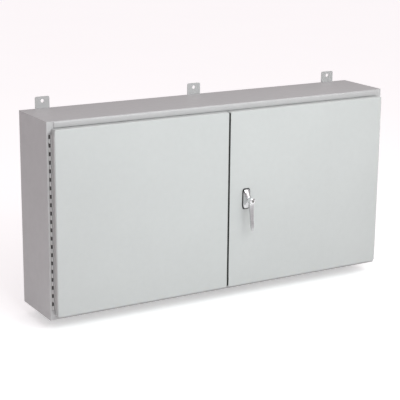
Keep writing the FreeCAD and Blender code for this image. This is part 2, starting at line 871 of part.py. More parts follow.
def make_switch():
    """Three-pole double-throw switch: base, poles, bars, lugs and screws."""
    base = box(
        ("switch_across - base_left", "switch_across + base_right"),
        ("base_front", "panel_front"),
        ("base_floor", "base_floor + base_rise"),
    )
    keep("switch_base", base)

    poles = []
    bars = []
    lugs = []
    screws = []
    arms = []
    slide_clear = 0.3
    for place in (-1, 0, 1):
        across = "switch_across + %d * pole_pitch" % place
        housing = box(
            (across + " - pole_width / 2", across + " + pole_width / 2"),
            ("pole_front", "base_front"),
            ("-pole_height / 2", "pole_height / 2"),
        )
        cavity = box(
            (across + " - pole_width / 2 + pole_wall", across + " + pole_width / 2 - pole_wall"),
            ("pole_front - 1", "base_front - 6"),
            ("-cavity_height / 2", "cavity_height / 2"),
        )
        bore = cylinder("x", across + " - 80", "shaft_depth", "0", "shaft_bore", "160")
        cuts = [cavity, bore]
        for up in (-1, 1):
            near = "%d * (arm_reach * 0.6 + 3)" % up
            far = "%d * (pole_height / 2 + 50)" % up
            ends = (near, far) if up > 0 else (far, near)
            bar_across = (across + " - bar_width / 2", across + " + bar_width / 2")
            bar_depth = ("shaft_depth - arm_reach + 4", "shaft_depth - arm_reach + 4 + bar_thick")
            bars.append(box(bar_across, bar_depth, ends))
            cuts.append(box(
                (bar_across[0] + " - %s" % slide_clear, bar_across[1] + " + %s" % slide_clear),
                (bar_depth[0] + " - %s" % slide_clear, bar_depth[1] + " + %s" % slide_clear),
                ends,
            ))
            lug_low = "%d * (pole_height / 2 + 14)" % up
            lug_high = "%d * (pole_height / 2 + 14 + lug_height)" % up
            lug_ends = (lug_low, lug_high) if up > 0 else (lug_high, lug_low)
            lug_depth = (bar_depth[0] + " - lug_depth", bar_depth[0])
            lugs.append(make_lug(across, lug_depth, lug_ends))
            screws.append(make_lug_screw(across, lug_depth[0], lug_ends))
        load_depth = ("base_front - bar_thick - 4", "base_front - 4")
        load_ends = ("-pole_height / 2 - 88", "-cavity_height / 2 + 10")
        load_across = (across + " - bar_width / 2", across + " + bar_width / 2")
        bars.append(box(load_across, load_depth, load_ends))
        cuts.append(box(
            (load_across[0] + " - %s" % slide_clear, load_across[1] + " + %s" % slide_clear),
            (load_depth[0] + " - %s" % slide_clear, "base_front + 1"),
            load_ends,
        ))
        lug_ends = ("-pole_height / 2 - 88", "-pole_height / 2 - 88 + lug_height")
        lug_depth = (load_depth[0] + " - lug_depth", load_depth[0])
        lugs.append(make_lug(across, lug_depth, lug_ends))
        screws.append(make_lug_screw(across, lug_depth[0], lug_ends))
        poles.append(cut(housing, *cuts))
        arms.append(make_arm(across))
    keep("pole_housings", group(poles))
    keep("contact_bars", group(bars))
    keep("terminal_lugs", group(lugs))
    keep("lug_screws", group(screws))
    keep("contact_arms", group(arms))


def make_lug(across, depth, ends):
    """Lug block with a cable way up through it and a screw hole in front."""
    block = box((across + " - 13", across + " + 13"), depth, ends)
    middle = "(%s + %s) / 2" % ends
    way = cylinder("z", across, depth[1] + " - 11", ends[0] + " - 1", "8", "lug_height + 2")
    thread = cylinder("y", across, depth[0] + " - 1", middle, "5", "16")
    return cut(block, way, thread)


def make_lug_screw(across, face, ends):
    middle = "(%s + %s) / 2" % ends
    screw = cylinder("y", across, face + " - 3", middle, "5", "12")
    socket = hexagon("y", across, face + " - 4", middle, "5", "6")
    return cut(screw, socket)


def make_arm(across):
    """Contact arm on its collar, tilted up to the first source."""
    collar = cylinder("x", across + " - arm_width / 2", "0", "0", "shaft_radius + 5", "arm_width")
    blade = box(
        (across + " - arm_width / 2", across + " + arm_width / 2"),
        ("-arm_reach", "0"),
        ("-arm_thick / 2", "arm_thick / 2"),
    )
    bore = cylinder("x", across + " - arm_width", "0", "0", "shaft_radius", "2 * arm_width")
    arm = cut(fuse(collar, blade), bore)
    arm.Placement = Placement(Vector(), Rotation(X_AXIS, -DIMENSIONS["arm_angle"]))
    return put(arm, y="shaft_depth")


def make_operator():
    """Shaft, crank, solenoid, manual lever and indicator."""
    shaft_low = "switch_across - shaft_left"
    shaft = cylinder("x", shaft_low, "shaft_depth", "0", "shaft_radius", "shaft_length")
    keep("contact_shaft", shaft)

    crank_across = ("plunger_across - 20", "plunger_across - 12")
    hub = cylinder("x", crank_across[0], "0", "0", "shaft_radius + 6", "8")
    web = box(crank_across, ("-crank_throw", "0"), ("-7", "7"))
    knuckle_end = cylinder("x", crank_across[0], "-crank_throw", "0", "7", "8")
    pin = cylinder("x", crank_across[0], "-crank_throw", "0", "3", "26")
    bore = cylinder("x", "plunger_across - 30", "0", "0", "shaft_radius", "60")
    crank = cut(fuse(hub, web, knuckle_end, pin), bore)
    crank.Placement = Placement(Vector(), Rotation(X_AXIS, -DIMENSIONS["arm_angle"]))
    keep("shaft_crank", put(crank, y="shaft_depth"))

    rise = "crank_throw * 0.5736"
    rod = cylinder(
        "z", "plunger_across", "slide_depth", rise, "plunger_radius", "plunger_length")
    yoke = box(
        ("plunger_across - 10", "plunger_across + 8"),
        ("slide_depth - 12", "slide_depth + 12"),
        (rise + " - yoke_half", rise + " + yoke_half"),
    )
    slot = box(
        ("plunger_across - 11", "plunger_across + 9"),
        ("slide_depth - 7.5", "slide_depth + 7.5"),
        (rise + " - yoke_slot", rise + " + yoke_slot"),
    )
    keep("solenoid_plunger", cut(fuse(rod, yoke), slot))

    coil = box(
        ("plunger_across - coil_side / 2", "plunger_across + coil_side / 2"),
        ("slide_depth - coil_side / 2", "slide_depth + coil_side / 2"),
        ("coil_floor", "coil_floor + coil_height"),
    )
    well = cylinder(
        "z", "plunger_across", "slide_depth", "coil_floor - 1", "plunger_bore", "coil_height + 2")
    keep("solenoid_coil", cut(coil, well))

    between = ("plunger_across - frame_half", "plunger_across + frame_half")
    upright = ("frame_low", "coil_floor + coil_height")
    reach = ("shaft_depth - frame_ahead", "base_front")
    left_plate = box((between[0], between[0] + " + frame_sheet"), reach, upright)
    right_plate = box((between[1] + " - frame_sheet", between[1]), reach, upright)
    back_plate = box(between, ("base_front - frame_sheet", "base_front"), upright)
    shelf_plate = box(between, reach, ("coil_floor - frame_sheet", "coil_floor"))
    shaft_way = cylinder("x", "plunger_across - 40", "shaft_depth", "0", "shaft_bore", "80")
    plunger_way = cylinder(
        "z", "plunger_across", "slide_depth", "coil_floor - 5", "plunger_bore", "6")
    frame = fuse(left_plate, right_plate, back_plate, shelf_plate)
    keep("operator_frame", cut(frame, shaft_way, plunger_way))

    lever_across = "plunger_across + 40"
    ring = cylinder("x", lever_across, "0", "0", "shaft_radius + 7", "12")
    arm = box((lever_across, lever_across + " + 12"), ("-manual_reach", "0"), ("-9", "9"))
    grip = cylinder(
        "y", lever_across + " + 6", "-manual_reach - 36", "0", "manual_grip", "60")
    lever_bore = cylinder("x", "plunger_across", "0", "0", "shaft_radius", "100")
    lever = cut(fuse(ring, arm, grip), lever_bore)
    lever.Placement = Placement(Vector(), Rotation(X_AXIS, -DIMENSIONS["arm_angle"]))
    keep("manual_handle", put(lever, y="shaft_depth"))

    flag_across = "switch_across - shaft_left + 5"
    drum = cylinder("x", flag_across, "0", "0", "flag_radius", "flag_thick")
    window = box(
        (flag_across + " - 1", flag_across + " + flag_thick + 1"),
        ("0", "flag_radius + 6"),
        ("-flag_radius - 6", "flag_radius + 6"),
    )
    rim = cylinder("x", flag_across, "0", "0", "shaft_radius + 5", "flag_thick")
    flag_bore = cylinder(
        "x", flag_across + " - 1", "0", "0", "shaft_radius", "flag_thick + 2")
    flag = cut(fuse(cut(drum, window), rim), flag_bore)
    flag.Placement = Placement(Vector(), Rotation(X_AXIS, -DIMENSIONS["arm_angle"]))
    keep("position_indicator", put(flag, y="shaft_depth"))


def make_controls():
    """Controller with display and buttons, rail gear and the transformer."""
    face = "panel_front - controller_depth"
    case = box(
        ("controller_left", "controller_left + controller_width"),
        (face, "panel_front"),
        ("controller_low", "controller_low + controller_height"),
    )
    display_across = (
        "controller_left + display_margin",
        "controller_left + display_margin + display_width",
    )
    display_level = (
        "controller_low + display_low",
        "controller_low + display_low + display_height",
    )
    window = box(display_across, (face + " - 1", face + " + 4"), display_level)
    cuts = [window]
    caps = []
    across = "controller_left + button_across"
    for label, rise in (("test_button", 112), ("transfer_button", 72)):
        level = "controller_low + %d" % rise
        cuts.append(cylinder("y", across, face + " - 1", level, "button_radius + 0.3", "14"))
        cap = cylinder("y", across, face + " - button_reach", level, "button_radius", "12")
        caps.append((label, cap))
    keep("controller_case", cut(case, *cuts))
    display = box(
        (display_across[0] + " + display_fit", display_across[1] + " - display_fit"),
        (face + " + 1", face + " + 4"),
        (display_level[0] + " + display_fit", display_level[1] + " - display_fit"),
    )
    keep("controller_display", display)
    for label, cap in caps:
        keep(label, cap)

    make_rail()
    make_rail_gear()
    make_transformer()


def make_rail():
    """Top-hat rail for the small control gear."""
    span = ("rail_low", "rail_low + rail_length")
    foot = box(
        span,
        ("panel_front - rail_sheet", "panel_front"),
        ("rail_level - rail_foot / 2", "rail_level + rail_foot / 2"),
    )
    rise = ("panel_front - rail_rise", "panel_front")
    brim = ("panel_front - rail_rise", "panel_front - rail_rise + rail_sheet")
    pieces = [foot]
    for up in (-1, 1):
        edge = "rail_level + %d * rail_foot / 2" % up
        inner = edge + " - %d * rail_sheet" % up
        outside = "rail_level + %d * rail_brim / 2" % up
        wall = (edge, inner) if up < 0 else (inner, edge)
        flange = (outside, inner) if up < 0 else (inner, outside)
        pieces.append(box(span, rise, wall))
        pieces.append(box(span, brim, flange))
    keep("din_rail", fuse(*pieces))


def make_rail_gear():
    """Terminals, relays and fuse holders clipped side by side on the rail."""
    clip = "panel_front - rail_rise - 0.3"

    def module(start, width, near, far, height):
        """Block on the rail, between two depths in front of its clip."""
        return box(
            (start, start + " + " + width),
            (clip + " - %s" % far, clip + " - %s" % near),
            ("rail_level - %s / 2" % height, "rail_level + %s / 2" % height),
        )

    terminals = []
    for index in range(9):
        start = "rail_low + 6 + terminal_pitch * %d" % index
        block = module(start, "terminal_pitch - 0.3", "0", "terminal_depth", "terminal_height")
        for up in (-1, 1):
            level = "rail_level + %d * 21" % up
            middle = start + " + terminal_pitch / 2 - 0.15"
            wire_way = cylinder("y", middle, clip + " - 45", level, "terminal_way", "14")
            block = cut(block, wire_way)
        terminals.append(block)
    keep("terminal_block", group(terminals))

    relays = []
    for index in range(2):
        start = "rail_low + 126 + relay_pitch * %d" % index
        socket = module(start, "relay_width", "0", "26", "68")
        cover = module(start + " + 3", "relay_width - 6", "26", "66", "32")
        relays.append(fuse(socket, cover))
    keep("control_relays", group(relays))

    holders = []
    for index in range(4):
        start = "rail_low + 208 + fuse_pitch * %d" % index
        holder = module(start, "fuse_width", "0", "40", "80")
        nose = module(start + " + 1", "fuse_width - 2", "40", "56", "40")
        holders.append(fuse(holder, nose))
    keep("fuse_block", group(holders))


def make_transformer():
    """Laminated core on feet, with its winding through the middle."""
    def span(width):
        return ("transformer_middle - %s / 2" % width, "transformer_middle + %s / 2" % width)

    upright = ("transformer_low", "transformer_low + transformer_side")
    window = ("transformer_low + 14", "transformer_low + transformer_side - 14")
    core = box(span("core_width"), ("panel_front - 84", "panel_front - 2"), upright)
    feet = box(span("winding_width"), ("panel_front - 2.5", "panel_front"), upright)
    tunnel = box(span("(core_width + 2)"), ("panel_front - 66", "panel_front - 20"), window)
    winding = box(
        span("winding_width"),
        ("panel_front - 65.5", "panel_front - 20.5"),
        (window[0] + " + 0.5", window[1] + " - 0.5"),
    )
    keep("control_transformer", group([cut(fuse(core, feet), tunnel), winding]))


def write_parts():
    """Check every object, then write each sub-part to its own file."""
    doc.recompute()
    for item in doc.Objects:
        if "Invalid" in item.State or "Error" in item.State:
            raise RuntimeError("failed object: " + item.Label)
    os.makedirs("parts", exist_ok=True)
    for item in nodes:
        if item.Shape.isNull() or not item.Shape.isValid():
            raise RuntimeError("bad shape: " + item.Label)
        item.Shape.exportStep("parts/%s.step" % item.Label)
        print("%-24s %2d solids %14.1f mm3" % (item.Label, len(item.Shape.Solids), item.Shape.Volume))
    print(len(nodes), "sub-parts")


make_body()
make_hinges()
make_doors()
make_handle()
make_latch()
make_left_door_works()
make_panel()
make_switch()
make_operator()
make_controls()
write_parts()
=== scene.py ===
import math

import bmesh
import bpy
from mathutils import Matrix, Vector


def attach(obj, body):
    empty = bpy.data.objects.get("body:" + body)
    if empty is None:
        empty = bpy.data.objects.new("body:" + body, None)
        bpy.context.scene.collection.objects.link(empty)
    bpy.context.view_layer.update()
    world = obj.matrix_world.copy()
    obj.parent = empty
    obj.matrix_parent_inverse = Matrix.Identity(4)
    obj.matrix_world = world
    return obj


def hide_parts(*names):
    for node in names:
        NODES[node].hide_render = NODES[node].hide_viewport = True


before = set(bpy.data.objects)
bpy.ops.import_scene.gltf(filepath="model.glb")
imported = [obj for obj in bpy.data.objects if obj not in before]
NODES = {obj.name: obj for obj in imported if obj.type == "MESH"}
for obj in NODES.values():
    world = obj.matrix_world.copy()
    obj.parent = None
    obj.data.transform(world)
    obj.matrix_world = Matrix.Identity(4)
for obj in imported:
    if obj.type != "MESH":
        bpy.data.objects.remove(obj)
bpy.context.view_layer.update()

MM = 0.001
X = Vector((1, 0, 0))
Y = Vector((0, 1, 0))
Z = Vector((0, 0, 1))

# Paint colours: one paint, with the body's copy a little darker and warmer as painted shade for
# its dimmer top and sides
BODY_PAINT_SHADED = (0.452, 0.445, 0.448)
DOOR_PAINT_LIT = (0.474, 0.484, 0.48)

# Places in the frame, in millimetres
HUB = (80.0, -3.0)
BODY_FRONT = -257.0
DOOR_FRONT = -288.0
LOCK_FACE = -340.5
HINGE_AXIS = (751.0, -260.8)
HINGE_FOOT = -338.0
KNUCKLE_PITCH = 16.0
KNUCKLE_COUNT = 42
TAB_PLACES = (-666.0, 0.0, 666.0)
SIDES = (("left", -1), ("right", 1))
PANEL_FACE = -33.0
PLUGS = [-628.0 + 16.0 * i for i in range(12)]
TERMINALS = [-648.1 + 12.0 * i for i in range(9)]
FUSES = [-443.0 + 19.0 * i for i in range(4)]
RELAYS = (-518.0, -480.0)
TRANSFORMER = (-590.0, -250.0)
TRANSFORMER_SCREWS = [-622.0 + 12.8 * i for i in range(6)]


def mm(*values):
    """A vector from millimetres."""
    return Vector(values) * MM


# Node materials


class Finish:
    """One Principled material and the nodes that vary it over the surface."""

    def __init__(self, name, colour, roughness, metallic=0.0, coat=0.0, specular=0.5):
        self.material = bpy.data.materials.new(name)
        self.material.use_nodes = True
        self.tree = self.material.node_tree
        self.tree.nodes.clear()
        output = self.add("ShaderNodeOutputMaterial")
        self.shader = self.add("ShaderNodeBsdfPrincipled")
        self.join(self.shader.outputs["BSDF"], output.inputs["Surface"])
        self.shader.inputs["Roughness"].default_value = roughness
        self.shader.inputs["Metallic"].default_value = metallic
        self.shader.inputs["Coat Weight"].default_value = coat
        self.shader.inputs["Coat Roughness"].default_value = 0.12
        self.shader.inputs["Specular IOR Level"].default_value = specular
        self.place = self.add("ShaderNodeTexCoord").outputs["Object"]
        self.colour = self.constant(colour)
        self.normal = None

    def add(self, kind, **settings):
        node = self.tree.nodes.new(kind)
        for key, value in settings.items():
            setattr(node, key, value)
        return node

    def join(self, source, target):
        self.tree.links.new(source, target)

    def constant(self, colour):
        node = self.add("ShaderNodeRGB")
        node.outputs[0].default_value = (*colour, 1.0)
        return node.outputs[0]

    def stretched(self, stretch):
        if stretch is None:
            return self.place
        node = self.add("ShaderNodeMapping")
        self.join(self.place, node.inputs["Vector"])
        node.inputs["Scale"].default_value = stretch
        return node.outputs["Vector"]

    def noise(self, scale, detail=2.0, rough=0.5, stretch=None):
        node = self.add("ShaderNodeTexNoise")
        self.join(self.stretched(stretch), node.inputs["Vector"])
        node.inputs["Scale"].default_value = scale
        node.inputs["Detail"].default_value = detail
        node.inputs["Roughness"].default_value = rough
        return node.outputs["Fac"]

    def cells(self, scale, output="Distance"):
        node = self.add("ShaderNodeTexVoronoi")
        self.join(self.place, node.inputs["Vector"])
        node.inputs["Scale"].default_value = scale
        return node.outputs[output]

    def bands(self, scale, direction, profile, distortion):
        node = self.add(
            "ShaderNodeTexWave", bands_direction=direction, wave_profile=profile)
        self.join(self.place, node.inputs["Vector"])
        node.inputs["Scale"].default_value = scale
        node.inputs["Distortion"].default_value = distortion
        return node.outputs["Fac"]

    def spread(self, value, low, high, start=0.0, end=1.0):
        """value from low..high to start..end, held at both ends."""
        node = self.add("ShaderNodeMapRange")
        self.join(value, node.inputs["Value"])
        for name, number in (
            ("From Min", low), ("From Max", high), ("To Min", start), ("To Max", end)):
            node.inputs[name].default_value = number
        return node.outputs["Result"]

    def grey(self, value):
        node = self.add("ShaderNodeSeparateColor")
        self.join(value, node.inputs["Color"])
        return node.outputs["Red"]

    def blend(self, mode, factor, colour):
        """Mixes another colour into the colour so far; both may be sockets or values."""
        node = self.add("ShaderNodeMix", data_type="RGBA", blend_type=mode)
        sockets = [s for s in node.inputs if s.enabled]
        for socket, value in zip(sockets, (factor, self.colour, colour)):
            if isinstance(value, bpy.types.NodeSocket):
                self.join(value, socket)
            else:
                socket.default_value = value
        self.colour = [s for s in node.outputs if s.enabled][0]

    def tint(self, factor, colour):
        """The colour so far, mixed with another by factor."""
        self.blend("MIX", factor, (*colour, 1.0))

    def vary(self, value, low, high, dark, light):
        """Multiplies the colour by a value spread between dark and light."""
        self.blend("MULTIPLY", 1.0, self.spread(value, low, high, dark, light))

    def edges(self, radius, strength):
        """Nearly 0 on flat faces and up to the strength on edges that a radius rounds."""
        soft = self.add("ShaderNodeBevel", samples=4)
        soft.inputs["Radius"].default_value = radius
        flat = self.add("ShaderNodeNewGeometry").outputs["Normal"]
        dot = self.add("ShaderNodeVectorMath", operation="DOT_PRODUCT")
        self.join(soft.outputs["Normal"], dot.inputs[0])
        self.join(flat, dot.inputs[1])
        return self.spread(dot.outputs["Value"], 0.995, 0.8, 0.0, strength)

    def rougher(self, value, low, high, start, end):
        """Roughness between start and end, as a value goes from low to high."""
        self.join(self.spread(value, low, high, start, end), self.shader.inputs["Roughness"])

    def bump(self, value, distance, strength):
        """Raises the surface by a value, on top of any bump so far."""
        node = self.add("ShaderNodeBump")
        node.inputs["Strength"].default_value = strength
        node.inputs["Distance"].default_value = distance
        self.join(value, node.inputs["Height"])
        if self.normal is not None:
            self.join(self.normal, node.inputs["Normal"])
        self.normal = node.outputs["Normal"]

    def done(self):
        """Links the colour and bump to the shader and gives the material."""
        self.join(self.colour, self.shader.inputs["Base Color"])
        if self.normal is not None:
            self.join(self.normal, self.shader.inputs["Normal"])
        return self.material


def powder_coat(name, colour):
    """Satin powder coat: fine orange peel, faint clouds, rubbed edges."""
    f = Finish(name, colour, 0.42)
    f.vary(f.noise(2.2, 3.0), 0.3, 0.7, 0.975, 1.02)
    f.vary(f.noise(38.0, 4.0, 0.6), 0.3, 0.7, 0.985, 1.012)
    f.vary(f.noise(900.0, 1.0), 0.3, 0.7, 0.985, 1.012)
    rubbed = tuple(min(1.0, 1.18 * c) for c in colour)
    f.tint(f.edges(0.0014, 0.5), rubbed)
    f.rougher(f.noise(26.0, 5.0, 0.6), 0.3, 0.72, 0.36, 0.52)
    f.bump(f.noise(360.0, 1.5), 0.00006, 0.6)
    f.bump(f.noise(1400.0, 2.0), 0.00002, 0.5)
    return f.done()


def enamel(name, colour):
    """Smooth gloss enamel of a mounting panel, with dust and fine marks."""
    f = Finish(name, colour, 0.3, coat=0.25)
    f.vary(f.noise(3.0, 4.0), 0.3, 0.7, 0.95, 1.0)
    f.tint(f.spread(f.noise(60.0, 6.0, 0.7), 0.62, 0.8, 0.0, 0.35), (0.6, 0.58, 0.54))
    f.tint(f.edges(0.001, 0.3), (0.95, 0.95, 0.93))
    f.rougher(f.noise(16.0, 5.0, 0.6), 0.3, 0.7, 0.24, 0.42)
    f.bump(f.noise(240.0, 1.0), 0.00005, 0.4)
    return f.done()


def plated(name, colour, stretch=(1.0, 1.0, 1.0), dull=0.32):
    """Zinc plated steel: spangle, fine draw lines and brighter rubbed edges."""
    f = Finish(name, colour, dull, metallic=1.0)
    f.vary(f.grey(f.cells(230.0, output="Color")), 0.0, 1.0, 0.9, 1.06)
    f.vary(f.noise(22.0, 5.0, 0.6), 0.3, 0.7, 0.9, 1.05)
    f.tint(f.spread(f.noise(70.0, 5.0, 0.65), 0.64, 0.8, 0.0, 0.4), (0.32, 0.31, 0.29))
    f.tint(f.edges(0.0007, 0.6), tuple(min(1.0, 1.35 * c) for c in colour))
    f.rougher(f.noise(90.0, 5.0, 0.6), 0.3, 0.7, dull - 0.08, dull + 0.14)
    f.bump(f.noise(700.0, 3.0, 0.6, stretch), 0.00003, 0.5)
    return f.done()


def polished(name, colour):
    """Chrome plate with faint haze, smears and hair scratches."""
    f = Finish(name, colour, 0.08, metallic=1.0)
    f.vary(f.noise(40.0, 4.0), 0.3, 0.7, 0.93, 1.02)
    f.rougher(f.noise(120.0, 6.0, 0.7), 0.35, 0.75, 0.07, 0.2)
    f.bump(f.noise(900.0, 4.0, 0.7, (1.0, 1.0, 0.08)), 0.000006, 0.5)
    return f.done()


def chrome_with_painted_reflection(name, colour, painted_hub_highlight):
    """Cast chrome, darker on the lever below the hub and brighter on the hub: painted reflection.
    """
    f = Finish(name, colour, 0.14, metallic=1.0)
    split = f.add("ShaderNodeSeparateXYZ")
    f.join(f.place, split.inputs["Vector"])
    # painted reflection: the hub is tinted bright and the lever below it is left dark
    f.tint(f.spread(split.outputs["Z"], -0.022, -0.010), painted_hub_highlight)
    f.vary(f.noise(40.0, 4.0), 0.3, 0.7, 0.93, 1.02)
    f.rougher(f.noise(120.0, 6.0, 0.7), 0.35, 0.75, 0.12, 0.24)
    f.bump(f.noise(900.0, 4.0, 0.7, (1.0, 1.0, 0.08)), 0.000006, 0.5)
    return f.done()


def rubber(name, colour):
    """Matte sponge rubber with a fine skin."""
    f = Finish(name, colour, 0.8, specular=0.35)
    f.vary(f.noise(80.0, 4.0), 0.3, 0.7, 0.75, 1.3)
    f.tint(f.spread(f.noise(300.0, 4.0, 0.7), 0.6, 0.85, 0.0, 0.4), (0.11, 0.11, 0.105))
    f.rougher(f.noise(200.0, 4.0), 0.3, 0.7, 0.68, 0.92)
    f.bump(f.noise(1800.0, 3.0, 0.6), 0.00008, 0.6)
    return f.done()


def moulded(name, colour, gloss=0.46):
    """Moulded plastic: fine spark texture, flow clouds and shiny worn edges."""
    f = Finish(name, colour, gloss)
    f.vary(f.noise(12.0, 4.0), 0.3, 0.7, 0.93, 1.05)
    f.vary(f.noise(420.0, 3.0), 0.3, 0.7, 0.95, 1.05)
    f.tint(f.edges(0.0006, 0.5), tuple(min(1.0, 1.5 * c + 0.01) for c in colour))
    f.rougher(f.noise(45.0, 5.0, 0.6), 0.3, 0.7, gloss - 0.08, gloss + 0.14)
    f.bump(f.cells(1500.0), 0.00005, 0.5)
    return f.done()


def fibre_filled(name, colour, fleck):
    """Glass-filled moulding: flow marks and short pale fibres."""
    f = Finish(name, colour, 0.48)
    f.vary(f.noise(30.0, 5.0, 0.65), 0.3, 0.7, 0.8, 1.2)
    fibres = f.noise(700.0, 2.0, 0.5, (1.0, 0.25, 1.0))
    f.tint(f.spread(fibres, 0.66, 0.78, 0.0, 0.35), fleck)
    f.tint(f.edges(0.0007, 0.45), tuple(min(1.0, 1.4 * c + 0.02) for c in colour))
    f.rougher(f.noise(60.0, 5.0, 0.6), 0.3, 0.7, 0.38, 0.6)
    f.bump(f.noise(900.0, 3.0, 0.6), 0.00005, 0.5)
    return f.done()


def copper_bar(name, colour):
    """Rolled copper: draw lines along the bar and brown oxide in the hollows."""
    f = Finish(name, colour, 0.3, metallic=1.0)
    f.vary(f.noise(300.0, 3.0, 0.6, (1.0, 1.0, 0.06)), 0.3, 0.7, 0.88, 1.08)
    f.tint(f.spread(f.noise(26.0, 5.0, 0.65), 0.5, 0.72, 0.0, 0.55), (0.33, 0.16, 0.09))
    f.tint(f.edges(0.0008, 0.6), (0.93, 0.62, 0.42))
    f.rougher(f.noise(50.0, 4.0), 0.3, 0.7, 0.22, 0.44)
    f.bump(f.noise(700.0, 3.0, 0.6, (1.0, 1.0, 0.05)), 0.00003, 0.5)
    return f.done()


def extruded(name, colour):
    """Extruded aluminium: die lines and a satin anodised skin."""
    f = Finish(name, colour, 0.36, metallic=1.0)
    f.vary(f.noise(700.0, 3.0, 0.6, (1.0, 1.0, 0.04)), 0.3, 0.7, 0.9, 1.05)
    f.vary(f.noise(35.0, 4.0), 0.3, 0.7, 0.93, 1.04)
    f.tint(f.edges(0.0008, 0.5), (0.93, 0.93, 0.92))
    f.rougher(f.noise(80.0, 5.0), 0.3, 0.7, 0.28, 0.48)
    f.bump(f.noise(900.0, 3.0, 0.6, (1.0, 1.0, 0.04)), 0.00003, 0.5)
    return f.done()


def taped(name, colour):
    """Varnished tape wound round a coil: overlapping turns and pooled varnish."""
    f = Finish(name, colour, 0.35, coat=0.4)
    turns = f.bands(26.0, "Z", "SAW", 0.6)
    f.vary(turns, 0.0, 1.0, 0.7, 1.15)
    f.vary(f.noise(60.0, 5.0, 0.65), 0.3, 0.7, 0.8, 1.15)
    f.rougher(f.noise(90.0, 4.0), 0.3, 0.7, 0.22, 0.55)
    f.bump(turns, 0.0005, 0.5)
    f.bump(f.noise(900.0, 3.0), 0.00005, 0.5)
    return f.done()


def laminated(name, colour):
    """Stacked varnished steel sheets, seen at their cut edges."""
    f = Finish(name, colour, 0.45, metallic=0.7)
    sheets = f.bands(170.0, "Y", "SIN", 0.3)
    f.vary(sheets, 0.2, 0.8, 0.72, 1.12)
    f.tint(f.spread(f.noise(50.0, 5.0, 0.7), 0.55, 0.75, 0.0, 0.5), (0.17, 0.12, 0.085))
    f.tint(f.edges(0.0008, 0.4), (0.5, 0.5, 0.49))
    f.rougher(f.noise(120.0, 4.0), 0.3, 0.7, 0.34, 0.62)
    f.bump(sheets, 0.0002, 0.6)
    return f.done()


def glassy(name, colour):
    """Dark acrylic window with finger smears and faint cells behind."""
    f = Finish(name, colour, 0.1, coat=0.8)
    f.vary(f.cells(620.0), 0.0, 0.7, 0.75, 1.25)
    f.tint(f.edges(0.0006, 0.5), (0.3, 0.33, 0.32))
    f.rougher(f.noise(40.0, 6.0, 0.7), 0.35, 0.7, 0.06, 0.24)
    f.bump(f.noise(160.0, 2.0), 0.00001, 0.4)
    return f.done()


FINISHES = {
    # the body's copy of the paint is darker: painted shade for its top and sides
    "body_paint": powder_coat("body_paint", BODY_PAINT_SHADED),
    "door_paint": powder_coat("door_paint", DOOR_PAINT_LIT),
    "panel_paint": enamel("panel_paint", (0.8, 0.8, 0.78)),
    "hinge_steel": powder_coat("hinge_steel", (0.47, 0.465, 0.462)),
    # dark plated steel for the hinge pins; on the door-leaf knuckle sleeves it is painted shade
    "pin_steel_and_knuckle_shade": plated("pin_steel_and_knuckle_shade", (0.085, 0.08, 0.08), (1.0, 1.0, 0.1), 0.45),
    "zinc_steel": plated("zinc_steel", (0.62, 0.62, 0.6)),
    "chrome": polished("chrome", (0.66, 0.66, 0.67)),
    # black plated steel for the lug screws; the keyway uses it as painted shade
    "black_steel_and_keyhole_shade": plated("black_steel_and_keyhole_shade", (0.05, 0.05, 0.052), dull=0.42),
    # black rubber for the gaskets; the strips in the door gap use it as painted shade
    "black_rubber": rubber("black_rubber", (0.022, 0.023, 0.022)),
    "nylon": moulded("nylon", (0.74, 0.72, 0.66), 0.42),
    "phenolic": fibre_filled("phenolic", (0.035, 0.035, 0.04), (0.16, 0.16, 0.16)),
    "glastic": fibre_filled("glastic", (0.36, 0.075, 0.045), (0.6, 0.3, 0.24)),
    "copper": copper_bar("copper", (0.72, 0.43, 0.27)),
    "aluminium": extruded("aluminium", (0.75, 0.75, 0.74)),
    "grey_plastic": moulded("grey_plastic", (0.33, 0.345, 0.355)),
    "terminal_grey": moulded("terminal_grey", (0.46, 0.47, 0.46), 0.5),
    "display_glass": glassy("display_glass", (0.02, 0.035, 0.03)),
    "green_button": moulded("green_button", (0.03, 0.24, 0.08), 0.3),
    "amber_button": moulded("amber_button", (0.62, 0.27, 0.02), 0.3),
    "coil_tape": taped("coil_tape", (0.42, 0.27, 0.05)),
    "laminations": laminated("laminations", (0.34, 0.33, 0.32)),
    "orange_plastic": moulded("orange_plastic", (0.7, 0.2, 0.02), 0.4),
    "cream_plastic": moulded("cream_plastic", (0.62, 0.58, 0.47), 0.42),
    "clear_brown": moulded("clear_brown", (0.2, 0.13, 0.07), 0.2),
    "white_mark": moulded("white_mark", (0.72, 0.72, 0.7), 0.45),
    "wire_blue": moulded("wire_blue", (0.04, 0.09, 0.3), 0.4),
    "wire_red": moulded("wire_red", (0.4, 0.03, 0.025), 0.4),
    # lever chrome with painted reflection: dark lever, bright hub
    "lever_chrome": chrome_with_painted_reflection("lever_chrome", (0.5, 0.5, 0.51), (0.86, 0.86, 0.87)),
}

